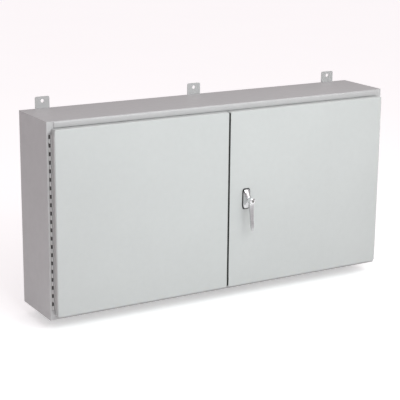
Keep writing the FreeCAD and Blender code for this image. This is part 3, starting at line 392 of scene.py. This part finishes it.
COATS = {
    "body_wrapper": "body_paint",
    "left_side_panel": "body_paint",
    "right_side_panel": "body_paint",
    "drip_lip": "body_paint",
    "center_post": "body_paint",
    "upper_mounting_tabs": "body_paint",
    "lower_mounting_tabs": "body_paint",
    "left_door_panel": "door_paint",
    "right_door_panel": "door_paint",
    "left_hinge_body_leaf": "hinge_steel",
    "right_hinge_body_leaf": "hinge_steel",
    "left_hinge_door_leaf": "hinge_steel",
    "right_hinge_door_leaf": "hinge_steel",
    "left_hinge_pin": "pin_steel_and_knuckle_shade",
    "right_hinge_pin": "pin_steel_and_knuckle_shade",
    "left_door_gasket": "black_rubber",
    "right_door_gasket": "black_rubber",
    "handle_gasket": "black_rubber",
    "handle_base": "chrome",
    "handle_lever": "chrome",
    "lock_cylinder": "zinc_steel",
    "handle_screws": "zinc_steel",
    "latch_cam": "zinc_steel",
    "cam_nut": "zinc_steel",
    "upper_latch_rod": "zinc_steel",
    "lower_latch_rod": "zinc_steel",
    "upper_latch_roller": "nylon",
    "lower_latch_roller": "nylon",
    "rod_guides": "nylon",
    "upper_door_bolt": "zinc_steel",
    "lower_door_bolt": "zinc_steel",
    "door_bolt_guides": "zinc_steel",
    "document_pocket": "grey_plastic",
    "sub_panel": "panel_paint",
    "panel_studs": "zinc_steel",
    "panel_nuts": "zinc_steel",
    "neutral_bar": "aluminium",
    "ground_bar": "copper",
    "switch_base": "zinc_steel",
    "pole_housings": "phenolic",
    "contact_bars": "copper",
    "contact_arms": "copper",
    "contact_shaft": "glastic",
    "terminal_lugs": "aluminium",
    "lug_screws": "black_steel_and_keyhole_shade",
    "shaft_crank": "zinc_steel",
    "solenoid_coil": "coil_tape",
    "solenoid_plunger": "zinc_steel",
    "operator_frame": "zinc_steel",
    "manual_handle": "phenolic",
    "position_indicator": "orange_plastic",
    "controller_case": "grey_plastic",
    "controller_display": "display_glass",
    "test_button": "green_button",
    "transfer_button": "amber_button",
    "din_rail": "zinc_steel",
    "terminal_block": "terminal_grey",
    "control_relays": "cream_plastic",
    "fuse_block": "phenolic",
    "control_transformer": "laminations",
}


for node_name, finish_name in COATS.items():
    coats = NODES[node_name].data.materials
    coats.clear()
    coats.append(FINISHES[finish_name])


# Mesh pieces


def piece_from(name, bm, finish, body, smooth_angle=40.0):
    """Links a bmesh as a piece on a body, with smooth faces and sharp edges past the angle."""
    bmesh.ops.recalc_face_normals(bm, faces=bm.faces)
    limit = math.radians(smooth_angle)
    for face in bm.faces:
        face.smooth = True
    for edge in bm.edges:
        edge.smooth = not (edge.is_manifold and edge.calc_face_angle(0.0) > limit)
    mesh = bpy.data.meshes.new(name)
    bm.to_mesh(mesh)
    bm.free()
    piece = bpy.data.objects.new(name, mesh)
    bpy.context.scene.collection.objects.link(piece)
    piece.data.materials.append(FINISHES[finish])
    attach(piece, body)
    return piece


def skin_rings(bm, rings, hollow=False):
    """Faces between rings of the same count, with end caps or, if hollow, back to the first."""
    loops = [[bm.verts.new(p) for p in ring] for ring in rings]
    count = len(loops[0])
    following = loops[1:] + loops[:1] if hollow else loops[1:]
    for near, far in zip(loops, following):
        for i in range(count):
            j = (i + 1) % count
            bm.faces.new((near[i], near[j], far[j], far[i]))
    if not hollow:
        bm.faces.new(loops[0][::-1])
        bm.faces.new(loops[-1])


def oval(centre, half_across, half_up, power, across, up, count=72):
    """A superellipse ring in the plane of two directions."""
    points = []
    for i in range(count):
        t = 2 * math.pi * i / count
        c, s = math.cos(t), math.sin(t)
        a = half_across * math.copysign(abs(c) ** (2 / power), c)
        b = half_up * math.copysign(abs(s) ** (2 / power), s)
        points.append(centre + across * a + up * b)
    return points


def front_ring(centre, depth, half_across, half_up, power=2.0, count=72):
    """A superellipse ring facing -Y, in millimetres."""
    middle = mm(centre[0], depth, centre[1])
    return oval(middle, half_across * MM, half_up * MM, power, X, Z, count)


def turned(bm, centre, profile, count, hollow=False):
    """Round piece facing -Y from (radius, depth) pairs."""
    rings = [front_ring(centre, depth, radius, radius, 2.0, count) for radius, depth in profile]
    skin_rings(bm, rings, hollow)


def make_handle_pad():
    """Rubber gasket between escutcheon and door, with a rolled rim."""
    bm = bmesh.new()
    half_across, half_up = 18.5, 42.5
    rings = []
    for depth, inset in ((DOOR_FRONT, 0.0), (-289.6, 0.0), (-290.3, 0.5), (-290.5, 1.4)):
        rings.append(front_ring(HUB, depth, half_across - inset, half_up - inset, 5.0))
    skin_rings(bm, rings)
    pad = piece_from("handle_pad", bm, "black_rubber", "right_door")
    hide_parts("handle_gasket")


def make_escutcheon():
    """Chrome escutcheon whose long dome runs up into the neck of the handle."""
    bm = bmesh.new()
    profile = (
        # depth, half width, half height, power
        (-290.5, 15.3, 38.8, 4.6),
        (-292.4, 15.5, 39.0, 4.6),
        (-293.8, 15.1, 38.6, 4.4),
        (-294.9, 14.3, 37.6, 4.0),
        (-296.4, 13.8, 35.6, 3.4),
        (-299.0, 13.5, 31.6, 2.9),
        (-302.0, 13.2, 27.2, 2.6),
        (-305.0, 12.9, 22.8, 2.4),
        (-308.0, 12.5, 18.8, 2.2),
        (-310.8, 12.1, 15.4, 2.1),
        (-313.0, 11.7, 12.8, 2.0),
        (-314.2, 11.3, 11.4, 2.0),
        (-314.5, 10.5, 10.6, 2.0),
    )
    skin_rings(bm, [front_ring(HUB, *settings) for settings in profile])
    base = piece_from("handle_escutcheon", bm, "chrome", "right_door")
    smooth = base.modifiers.new("round", "SUBSURF")
    smooth.levels = smooth.render_levels = 1
    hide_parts("handle_base")


def make_lever():
    """Cast hub and hanging lever, blended into one skin."""
    bm = bmesh.new()
    hub = (
        # depth, radius
        (-315.3, 10.6), (-316.2, 11.9), (-319.0, 12.6), (-326.0, 12.8),
        (-334.0, 12.7), (-337.6, 12.2), (-339.2, 10.8), (-339.7, 8.6),
    )
    skin_rings(bm, [front_ring(HUB, depth, radius, radius) for depth, radius in hub])
    arm = (
        # drop below the hub, depth of the middle, half width, half thickness
        (-6.0, -327.3, 9.4, 6.4),
        (8.0, -327.8, 10.0, 6.2),
        (18.0, -328.6, 9.8, 5.6),
        (34.0, -330.2, 9.0, 5.0),
        (54.0, -332.2, 8.2, 4.7),
        (76.0, -334.6, 7.5, 4.5),
        (96.0, -337.0, 6.9, 4.4),
        (110.0, -338.6, 6.4, 4.2),
        (118.0, -339.4, 5.4, 3.6),
        (121.7, -339.6, 3.2, 2.4),
    )
    skin_rings(bm, [
        oval(mm(HUB[0], y, HUB[1] - drop), a * MM, b * MM, 4.5, X, Y) for drop, y, a, b in arm])
    lever = piece_from("handle_grip", bm, "lever_chrome", "handle")
    blend = lever.modifiers.new("blend", "REMESH")
    blend.mode = "VOXEL"
    blend.voxel_size = 0.0007
    blend.use_smooth_shade = True
    relax = lever.modifiers.new("relax", "SMOOTH")
    relax.factor = 0.5
    relax.iterations = 14
    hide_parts("handle_lever")


def make_spindle():
    """Round spindle of the handle, with a groove behind the door."""
    bm = bmesh.new()
    turned(bm, HUB, (
        (7.4, -315.6), (8.0, -314.9), (8.0, -262.0), (7.4, -261.2),
        (7.4, -260.6), (8.0, -260.0), (8.0, -250.4), (7.4, -249.8)), 48)
    spindle = piece_from("handle_spindle", bm, "zinc_steel", "handle")


def make_lock_bezel():
    """Raised ring round the lock plug."""
    bm = bmesh.new()
    turned(bm, HUB, (
        (6.15, -339.0), (6.15, -340.0), (6.5, -340.45), (7.3, LOCK_FACE),
        (8.0, -340.2), (8.4, -339.4), (8.4, -338.6)), 48, True)
    ring = piece_from("lock_bezel", bm, "chrome", "handle")


def sleeve(bm, centre, outer, inner, low, high):
    """Upright hollow sleeve with eased ends, in millimetres."""
    ease = 0.2
    section = (
        (inner, low), (outer - ease, low), (outer, low + ease),
        (outer, high - ease), (outer - ease, high), (inner, high),
    )
    skin_rings(bm, [
        oval(mm(*centre, level), radius * MM, radius * MM, 2.0, X, Y, 24)
        for radius, level in section], True)


def make_knuckle_shade_sleeves():
    """Dark sleeves on the door-leaf knuckles, between the painted ones: painted shade for the dark
    gaps of the hinge.
    """
    gap = 0.5
    for side, sign in SIDES:
        bm = bmesh.new()
        centre = (sign * HINGE_AXIS[0], HINGE_AXIS[1])
        for index in range(1, KNUCKLE_COUNT, 2):
            low = HINGE_FOOT + KNUCKLE_PITCH * index + gap
            sleeve(bm, centre, 4.0, 3.3, low, low + KNUCKLE_PITCH - 2.0 * gap)
        shade_sleeves = piece_from(side + "_hinge_knuckle_shade", bm, "pin_steel_and_knuckle_shade", side + "_door")


def panel_outline(half_across, half_up, corner, count):
    """Outline of a rounded rectangle, in millimetres."""
    points = []
    reach, rise = half_across - corner, half_up - corner
    corners = ((reach, rise), (-reach, rise), (-reach, -rise), (reach, -rise))
    for turn, (cx, cz) in enumerate(corners):
        for i in range(count + 1):
            t = math.pi / 2 * (turn + i / count)
            points.append((cx + corner * math.cos(t), cz + corner * math.sin(t)))
    return points


def slab(bm, centre, half_across, half_up, near, far, corner, ease):
    """Rounded plate facing -Y between two depths, with eased front edges."""
    rings = []
    for depth, inset in (
            (far, 0.0), (near + ease, 0.0), (near + ease * 0.3, ease * 0.3), (near, ease)):
        outline = panel_outline(
            half_across - inset, half_up - inset, max(0.05, corner - inset), 4)
        rings.append([mm(centre[0] + x, depth, centre[1] + z) for x, z in outline])
    skin_rings(bm, rings)


def make_post_gap_shade():
    """Thin black strip on the centre post, seen through the gap between the doors: painted shade
    for the dark gap.
    """
    bm = bmesh.new()
    slab(bm, (0.0, 0.0), 11.0, 330.0, BODY_FRONT - 0.22, BODY_FRONT, 2.0, 0.1)
    gap_shade = piece_from("post_gap_shade", bm, "black_rubber", "cabinet")


def make_key_slot():
    """Dark keyway with its shutter, on the face of the lock plug, black as painted shade inside
    the keyhole.
    """
    bm = bmesh.new()
    half_across, half_up = 3.1, 4.9
    rings = []
    for depth, inset in (
            (-339.4, 0.0), (-340.28, 0.0), (-340.42, 0.15), (-340.36, 0.6), (-340.2, 1.0)):
        rings.append(front_ring(HUB, depth, half_across - inset, half_up - inset, 2.4, 40))
    skin_rings(bm, rings)
    slot = piece_from("key_slot", bm, "black_steel_and_keyhole_shade", "lock_plug")


def make_meeting_gap_shade():
    """Black strip down the meeting edge of each door: painted shade that darkens the gap between
    the doors.
    """
    widest, back, front = 4.4, -263.2, -287.2
    section = (
        # across, depth
        (3.1, -263.0), (1.5, -263.4), (0.6, -264.6), (0.4, -267.0), (0.4, -284.6),
        (0.6, -286.2), (1.3, -287.0), (2.8, front), (4.2, -287.1), (widest, -286.6),
        (3.3, -285.4),
    )
    levels = (
        # level, inset that eases the ends
        (-358.0, 1.2), (-357.2, 0.3), (-355.0, 0.0), (346.0, 0.0), (348.6, 0.3), (349.4, 1.2),
    )
    for side, sign in SIDES:
        bm = bmesh.new()
        skin_rings(bm, [
            [mm(sign * min(widest, x + inset), min(back, max(front + inset, y)), level)
             for x, y in section]
            for level, inset in levels])
        gap_shade = piece_from(side + "_meeting_gap_shade", bm, "black_rubber", side + "_door", 60.0)


LIP_SECTION = (
    # share of the full proudness, level
    (-0.03, 381.0), (0.3, 380.7), (0.58, 379.6), (0.8, 377.6), (0.94, 374.8), (1.0, 371.4),
    (1.0, 367.6), (0.98, 364.0), (0.93, 360.8), (0.84, 358.0), (0.68, 356.2), (0.4, 355.2),
    (-0.03, 355.0),
)


def make_drip_lip():
    """Rounded drip bead over the doors, its pressed ends running out into the body."""
    bm = bmesh.new()
    straight_end, end_length, middle = 725.0, 10.0, 368.0
    proud, least = 5.0, 0.06
    steps = [i / 10 for i in range(11)]
    places = [(-straight_end - end_length * t, t) for t in reversed(steps)]
    places += [(-place, t) for place, t in reversed(places)]
    rings = []
    for across, t in places:
        depth = proud * math.sqrt(max(0.0, 1.0 - t * t)) + least
        squeeze = 1.0 - 0.25 * t * t
        rings.append([
            mm(across, BODY_FRONT - share * depth,
               middle + (level - middle) * squeeze if level < middle else level)
            for share, level in LIP_SECTION])
    skin_rings(bm, rings)
    lip = piece_from("rounded_drip_lip", bm, "body_paint", "cabinet", 60.0)
    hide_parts("drip_lip")


def screw(bm, centre, face, radius, height=2.2):
    """Domed head with a round driver recess."""
    turned(bm, centre, (
        (radius, face + 0.4), (radius, face - 0.5 * height), (0.86 * radius, face - 0.85 * height),
        (0.6 * radius, face - height), (0.46 * radius, face - height),
        (0.4 * radius, face - 0.4 * height), (0.12 * radius, face - 0.35 * height)), 20)


def ring_frame(bm, centre, outer, inner, near, far):
    """Rounded rectangular frame facing -Y between two depths."""
    corner = 3.0
    rings = []
    for (half_across, half_up), inset, depth in (
            (outer, 0.0, far), (outer, 0.0, near + 0.6), (outer, 0.5, near),
            (inner, -0.4, near), (inner, 0.0, near + 0.5), (inner, 0.0, far)):
        outline = panel_outline(half_across - inset, half_up - inset, corner, 5)
        rings.append([mm(centre[0] + x, depth, centre[1] + z) for x, z in outline])
    skin_rings(bm, rings, True)


def make_controller_face():
    """Display bezel, soft keys, lamps, button collars and cover screws of the controller."""
    face = -112.0
    bm = bmesh.new()
    ring_frame(bm, (-560.0, 135.0), (57.0, 32.0), (49.0, 24.0), face - 2.4, face)
    bezel = piece_from("display_bezel", bm, "phenolic", "cabinet")
    bm = bmesh.new()
    for i in range(5):
        slab(bm, (-600.0 + 20.0 * i, 88.0), 7.0, 4.0, face - 1.8, face + 0.2, 2.0, 0.5)
    for i in range(3):
        slab(bm, (-580.0 + 20.0 * i, 66.0), 7.0, 6.0, face - 1.8, face + 0.2, 3.0, 0.5)
    keys = piece_from("controller_keys", bm, "terminal_grey", "cabinet")
    for name, finish, places in (
            ("source_lamps", "green_button", (-606.0, -590.0, -574.0)),
            ("alarm_lamps", "amber_button", (-546.0, -530.0, -514.0))):
        bm = bmesh.new()
        for across in places:
            turned(bm, (across, 176.0), (
                (2.6, face + 0.3), (2.6, face - 0.8), (2.3, face - 1.7), (1.5, face - 2.4),
                (0.5, face - 2.7)), 20)
        piece = piece_from(name, bm, finish, "cabinet")
    bm = bmesh.new()
    for level in (152.0, 112.0):
        turned(bm, (-475.0, level), (
            (11.5, face + 0.2), (11.5, face - 1.4), (10.6, face - 2.6), (9.4, face - 2.8),
            (8.5, face - 2.2), (8.5, face + 0.2)), 32, True)
    collars = piece_from("button_collars", bm, "zinc_steel", "cabinet")
    bm = bmesh.new()
    for across in (-632.0, -448.0):
        for level in (48.0, 182.0):
            screw(bm, (across, level), face, 3.4)
    screws = piece_from("controller_screws", bm, "zinc_steel", "cabinet")
    bm = bmesh.new()
    for x in PLUGS:
        slab(bm, (x, 34.0), 7.6, 6.6, -88.0, -52.0, 1.0, 0.8)
        screw(bm, (x, 34.0), -88.0, 3.6)
    plugs = piece_from("controller_plugs", bm, "green_button", "cabinet")


def make_rail_gear():
    """Screws, markers and windows of the terminals, relays and fuse holders."""
    rail_level = -70.0
    bm = bmesh.new()
    marks = bmesh.new()
    for x in TERMINALS:
        for level in (-52.0, -88.0):
            screw(bm, (x, level), -83.8, 3.6)
        slab(marks, (x, rail_level), 4.8, 4.0, -84.8, -83.6, 0.8, 0.3)
    for x in FUSES:
        for level in (-37.0, -103.0):
            screw(bm, (x, level), -95.8, 4.2)
    screws = piece_from("rail_screws", bm, "zinc_steel", "cabinet")
    markers = piece_from("terminal_markers", marks, "white_mark", "cabinet")
    bm = bmesh.new()
    flags = bmesh.new()
    for x in RELAYS:
        slab(bm, (x, -64.0), 11.5, 22.0, -107.2, -105.6, 2.0, 0.6)
        slab(flags, (x, -94.0), 8.0, 4.5, -108.4, -105.6, 1.2, 0.5)
    windows = piece_from("relay_windows", bm, "clear_brown", "cabinet")
    levers = piece_from("relay_test_tabs", flags, "orange_plastic", "cabinet")
    bm = bmesh.new()
    for x in FUSES:
        slab(bm, (x, rail_level), 6.4, 20.0, -101.0, -95.6, 2.4, 1.4)
        for step in range(-2, 3):
            slab(bm, (x, rail_level + 5.0 * step), 5.2, 1.1, -101.8, -100.6, 0.9, 0.5)
    pulls = piece_from("fuse_pulls", bm, "cream_plastic", "cabinet")


def make_switch_detail():
    """Vent ribs and cover screws of the poles, bar screws and transformer fittings."""
    poles, cover_face = (-220.0, -110.0, 0.0), -152.0
    bar_level, bar_face = -250.0, -56.0
    core_face, block_face = -116.0, -124.0
    ribs = bmesh.new()
    screws = bmesh.new()
    for x in poles:
        for side in (-1, 1):
            for step in range(5):
                level = side * (78.0 + 8.0 * step)
                slab(ribs, (x, level), 32.0, 2.2, -154.2, -151.8, 2.0, 1.0)
            for across in (-40.0, 40.0):
                screw(screws, (x + across, side * 118.0), cover_face, 3.8)
    grilles = piece_from("arc_vent_ribs", ribs, "phenolic", "cabinet")
    for first in (268.0, 528.0):
        for i in range(12):
            screw(screws, (first + 13.0 * i, bar_level), bar_face, 3.9, 2.8)
    for across in (-52.0, 52.0):
        for level in (-32.0, 32.0):
            centre = (TRANSFORMER[0] + across, TRANSFORMER[1] + level)
            screw(screws, centre, core_face, 5.0, 3.4)
    strip = bmesh.new()
    slab(strip, TRANSFORMER, 40.0, 10.0, block_face, core_face + 0.2, 2.0, 1.0)
    for x in TRANSFORMER_SCREWS:
        screw(screws, (x, TRANSFORMER[1]), block_face, 3.6)
    fittings = piece_from("cover_screws", screws, "zinc_steel", "cabinet")
    terminals = piece_from("transformer_terminals", strip, "phenolic", "cabinet")


def softened(points):
    """Three rounds of corner cutting that keep the first and last points."""
    path = [Vector(p) for p in points]
    for _ in range(3):
        cut = [path[0]]
        for near, far in zip(path, path[1:]):
            cut += [near.lerp(far, 0.25), near.lerp(far, 0.75)]
        path = cut + [path[-1]]
    return path


def strand(bm, points, radius, count=10, ripple=0.0):
    """Tube along a softened path in millimetres, with an optional ripple of its radius."""
    path = softened(points)
    rings = []
    across = None
    for i, point in enumerate(path):
        ahead = (path[min(i + 1, len(path) - 1)] - path[max(i - 1, 0)]).normalized()
        if across is None:
            across = ahead.orthogonal().normalized()
        across = (across - ahead * across.dot(ahead)).normalized()
        up = ahead.cross(across)
        size = radius * (1.0 + ripple * math.sin(2.4 * i)) * MM
        rings.append(oval(point * MM, size, size, 2.0, across, up, count))
    skin_rings(bm, rings)


def make_wiring():
    """Control wiring between the controller, rail gear, transformer and operator coil."""
    blue, red = bmesh.new(), bmesh.new()
    thick = 1.3
    for i, (x, top) in enumerate(zip(TERMINALS, PLUGS)):
        strand(red if i in (0, 4, 8) else blue, (
            (top, -70.0, 30.0), (top, -70.0, 16.0), (0.5 * (x + top), -74.0 - i % 3, -4.0),
            (x, -72.0, -24.0), (x, -68.0, -42.0)), thick)
    for i, x in enumerate((-526.0, -510.0, -488.0, -472.0)):
        top = PLUGS[9 + i % 3]
        strand(blue, (
            (top, -64.0 - 3.0 * i, 30.0), (top, -64.0 - 3.0 * i, 10.0),
            (x, -66.0, -16.0), (x, -66.0, -38.0)), thick)
    for i, (x, end) in enumerate(zip(FUSES, TRANSFORMER_SCREWS)):
        level = -150.0 - 4.0 * i
        strand(red, (
            (x, -62.0, -108.0), (x, -62.0, -132.0), (x - 20.0, -60.0, level),
            (end + 24.0, -60.0, level - 4.0), (end, -90.0, level - 20.0),
            (end, -126.0, -212.0), (end, -130.0, -232.0), (end, -126.5, -246.0)), thick)
    for i, x in enumerate(TERMINALS[0:8:2]):
        level = -246.0 - 3.0 * i
        strand(blue, (
            (x, -62.0, -98.0), (x, -60.0, -126.0), (-500.0, -48.0, -180.0 + 3.0 * i),
            (-470.0 + 3.0 * i, -38.0, level), (-380.0, -35.0, level), (100.0, -35.0, level),
            (186.0 - 3.0 * i, -35.0, level), (190.0 - 3.0 * i, -35.0, -100.0),
            (190.0 - 3.0 * i, -36.0, 100.0), (186.0, -60.0, 172.0 - 3.0 * i),
            (150.0, -118.0, 170.0 - 3.0 * i), (124.0 - 6.0 * i, -128.0, 164.0),
            (120.0 - 6.0 * i, -129.0, 152.0)), thick)
    for name, finish, bm in (("wires_blue", "wire_blue", blue), ("wires_red", "wire_red", red)):
        wires = piece_from(name, bm, finish, "cabinet")
    bm = bmesh.new()
    for x in (-330.0, -200.0, -60.0, 80.0):
        strand(bm, (
            (x, PANEL_FACE, -242.0), (x, -37.5, -243.5),
            (x, -37.5, -257.0), (x, PANEL_FACE, -258.5)), 1.4, 8)
    for z in (-160.0, -40.0, 60.0):
        strand(bm, (
            (177.0, PANEL_FACE, z), (178.5, -37.8, z),
            (191.0, -37.8, z), (192.5, PANEL_FACE, z)), 1.4, 8)
    ties = piece_from("wire_clips", bm, "white_mark", "cabinet")


def make_tab_welds():
    """Weld beads that hold the mounting tabs to the back."""
    bm = bmesh.new()
    depth, half_tab = -2.7, 29.7
    for middle in TAB_PLACES:
        for side in (-1, 1):
            for across in (middle - half_tab, middle + half_tab):
                strand(bm, [
                    (across, depth, side * level) for level in (379.0, 360.0, 347.0)],
                    1.9, 10, 0.12)
    welds = piece_from("tab_welds", bm, "body_paint", "cabinet")


def make_pocket_hem():
    """Rolled rim along the mouth of the document pocket."""
    bm = bmesh.new()
    strand(bm, (
        (-518.5, -283.0, 60.0), (-518.5, -262.0, 60.0), (-518.5, -247.5, 60.0),
        (-500.0, -247.5, 60.0), (-380.0, -247.5, 60.0), (-260.0, -247.5, 60.0),
        (-241.5, -247.5, 60.0), (-241.5, -262.0, 60.0), (-241.5, -283.0, 60.0)), 2.0, 12)
    hem = piece_from("pocket_hem", bm, "grey_plastic", "left_door")


make_drip_lip()
make_controller_face()
make_rail_gear()
make_switch_detail()
make_wiring()
make_tab_welds()
make_pocket_hem()
make_knuckle_shade_sleeves()
make_post_gap_shade()
make_handle_pad()
make_escutcheon()
make_lever()
make_spindle()
make_lock_bezel()
make_key_slot()
make_meeting_gap_shade()


# Floor, light and camera

FLOOR_LEVEL = -0.4275
FLOOR_HALF = 40.0
FLOOR_GLOW = 0.175
FLOOR_SEEN_GLOW = 0.2
HORIZON = (0.035, 0.034, 0.034, 1.0)
ZENITH = (0.74, 0.68, 0.70, 1.0)
LAMPS = (
    # name, place, target, size, power, colour
    ("key", (0.8, -1.8, 1.7), (0.0, -0.25, 0.1), (1.4, 0.9), 10.0, (0.94, 1.0, 0.92)),
    ("front", (-0.1, -2.45, 1.35), (0.0, -0.25, 0.2), (2.2, 1.0), 41.0, (0.92, 1.0, 1.0)),
    ("top_strip", (0.0, -1.1, 1.25), (0.0, -0.25, 0.1), (2.6, 0.3), 0.8, (0.88, 1.0, 1.0)),
)
CAMERA_PLACE = Vector((-2.526, -4.362, 1.2725))
YAW, PITCH, ROLL = 0.5311, 0.2596, 0.0095
LENS = 112.63


def make_floor():
    """Plain white floor that glows a little more to the camera than to the object."""
    bm = bmesh.new()
    bmesh.ops.create_grid(bm, x_segments=4, y_segments=4, size=FLOOR_HALF)
    mesh = bpy.data.meshes.new("floor")
    bm.to_mesh(mesh)
    bm.free()
    floor = bpy.data.objects.new("floor", mesh)
    bpy.context.scene.collection.objects.link(floor)
    floor.location = (0, 0, FLOOR_LEVEL)
    f = Finish("floor_white", (0.93, 0.93, 0.93), 0.9, specular=0.1)
    f.vary(f.noise(1.3, 3.0), 0.3, 0.7, 0.99, 1.0)
    f.done()
    f.shader.inputs["Emission Color"].default_value = (1, 1, 1, 1)
    seen = f.add("ShaderNodeLightPath").outputs["Is Camera Ray"]
    glow = f.spread(seen, 0.0, 1.0, FLOOR_GLOW, FLOOR_GLOW + FLOOR_SEEN_GLOW)
    f.join(glow, f.shader.inputs["Emission Strength"])
    floor.data.materials.append(f.material)


def make_world():
    """Soft light from above over a dark horizon, on a plain white background."""
    world = bpy.data.worlds.new("studio")
    bpy.context.scene.world = world
    world.use_nodes = True
    tree = world.node_tree
    tree.nodes.clear()
    out = tree.nodes.new("ShaderNodeOutputWorld")
    light = tree.nodes.new("ShaderNodeBackground")
    plain = tree.nodes.new("ShaderNodeBackground")
    choose = tree.nodes.new("ShaderNodeMixShader")
    path = tree.nodes.new("ShaderNodeLightPath")
    place = tree.nodes.new("ShaderNodeTexCoord")
    split = tree.nodes.new("ShaderNodeSeparateXYZ")
    ramp = tree.nodes.new("ShaderNodeValToRGB")
    tree.links.new(place.outputs["Generated"], split.inputs["Vector"])
    tree.links.new(split.outputs["Z"], ramp.inputs["Fac"])
    tree.links.new(ramp.outputs["Color"], light.inputs["Color"])
    tree.links.new(path.outputs["Is Camera Ray"], choose.inputs["Fac"])
    tree.links.new(light.outputs["Background"], choose.inputs[1])
    tree.links.new(plain.outputs["Background"], choose.inputs[2])
    tree.links.new(choose.outputs["Shader"], out.inputs["Surface"])
    ramp.color_ramp.elements[0].position = 0.0
    ramp.color_ramp.elements[0].color = HORIZON
    ramp.color_ramp.elements[1].position = 0.6
    ramp.color_ramp.elements[1].color = ZENITH
    plain.inputs["Color"].default_value = (1.0, 1.0, 1.0, 1.0)


def lamp(name, place, target, size, power, colour):
    """Rectangular area lamp aimed at a target."""
    data = bpy.data.lights.new(name, "AREA")
    data.shape = "RECTANGLE"
    data.size, data.size_y = size
    data.energy = power
    data.color = colour
    light = bpy.data.objects.new(name, data)
    bpy.context.scene.collection.objects.link(light)
    light.location = place
    light.rotation_mode = "QUATERNION"
    aim = Vector(target) - Vector(place)
    light.rotation_quaternion = aim.to_track_quat("-Z", "Y")


def make_camera():
    """Long lens from the left, looking slightly down."""
    ahead = Vector((
        math.sin(YAW) * math.cos(PITCH), math.cos(YAW) * math.cos(PITCH), -math.sin(PITCH)))
    right = Vector((math.cos(YAW), -math.sin(YAW), 0.0))
    up = right.cross(ahead)
    rolled_right = right * math.cos(ROLL) + up * math.sin(ROLL)
    rolled_up = up * math.cos(ROLL) - right * math.sin(ROLL)
    turn = Matrix((rolled_right, rolled_up, -ahead)).transposed()
    data = bpy.data.cameras.new("camera")
    data.sensor_width = 36.0
    data.lens = LENS
    data.clip_start, data.clip_end = 0.05, 200.0
    camera = bpy.data.objects.new("camera", data)
    bpy.context.scene.collection.objects.link(camera)
    camera.matrix_world = Matrix.Translation(CAMERA_PLACE) @ turn.to_4x4()
    bpy.context.scene.camera = camera


make_floor()
make_world()
for lamp_settings in LAMPS:
    lamp(*lamp_settings)
make_camera()

scene = bpy.context.scene
scene.view_settings.view_transform = "Standard"
scene.view_settings.look = "None"
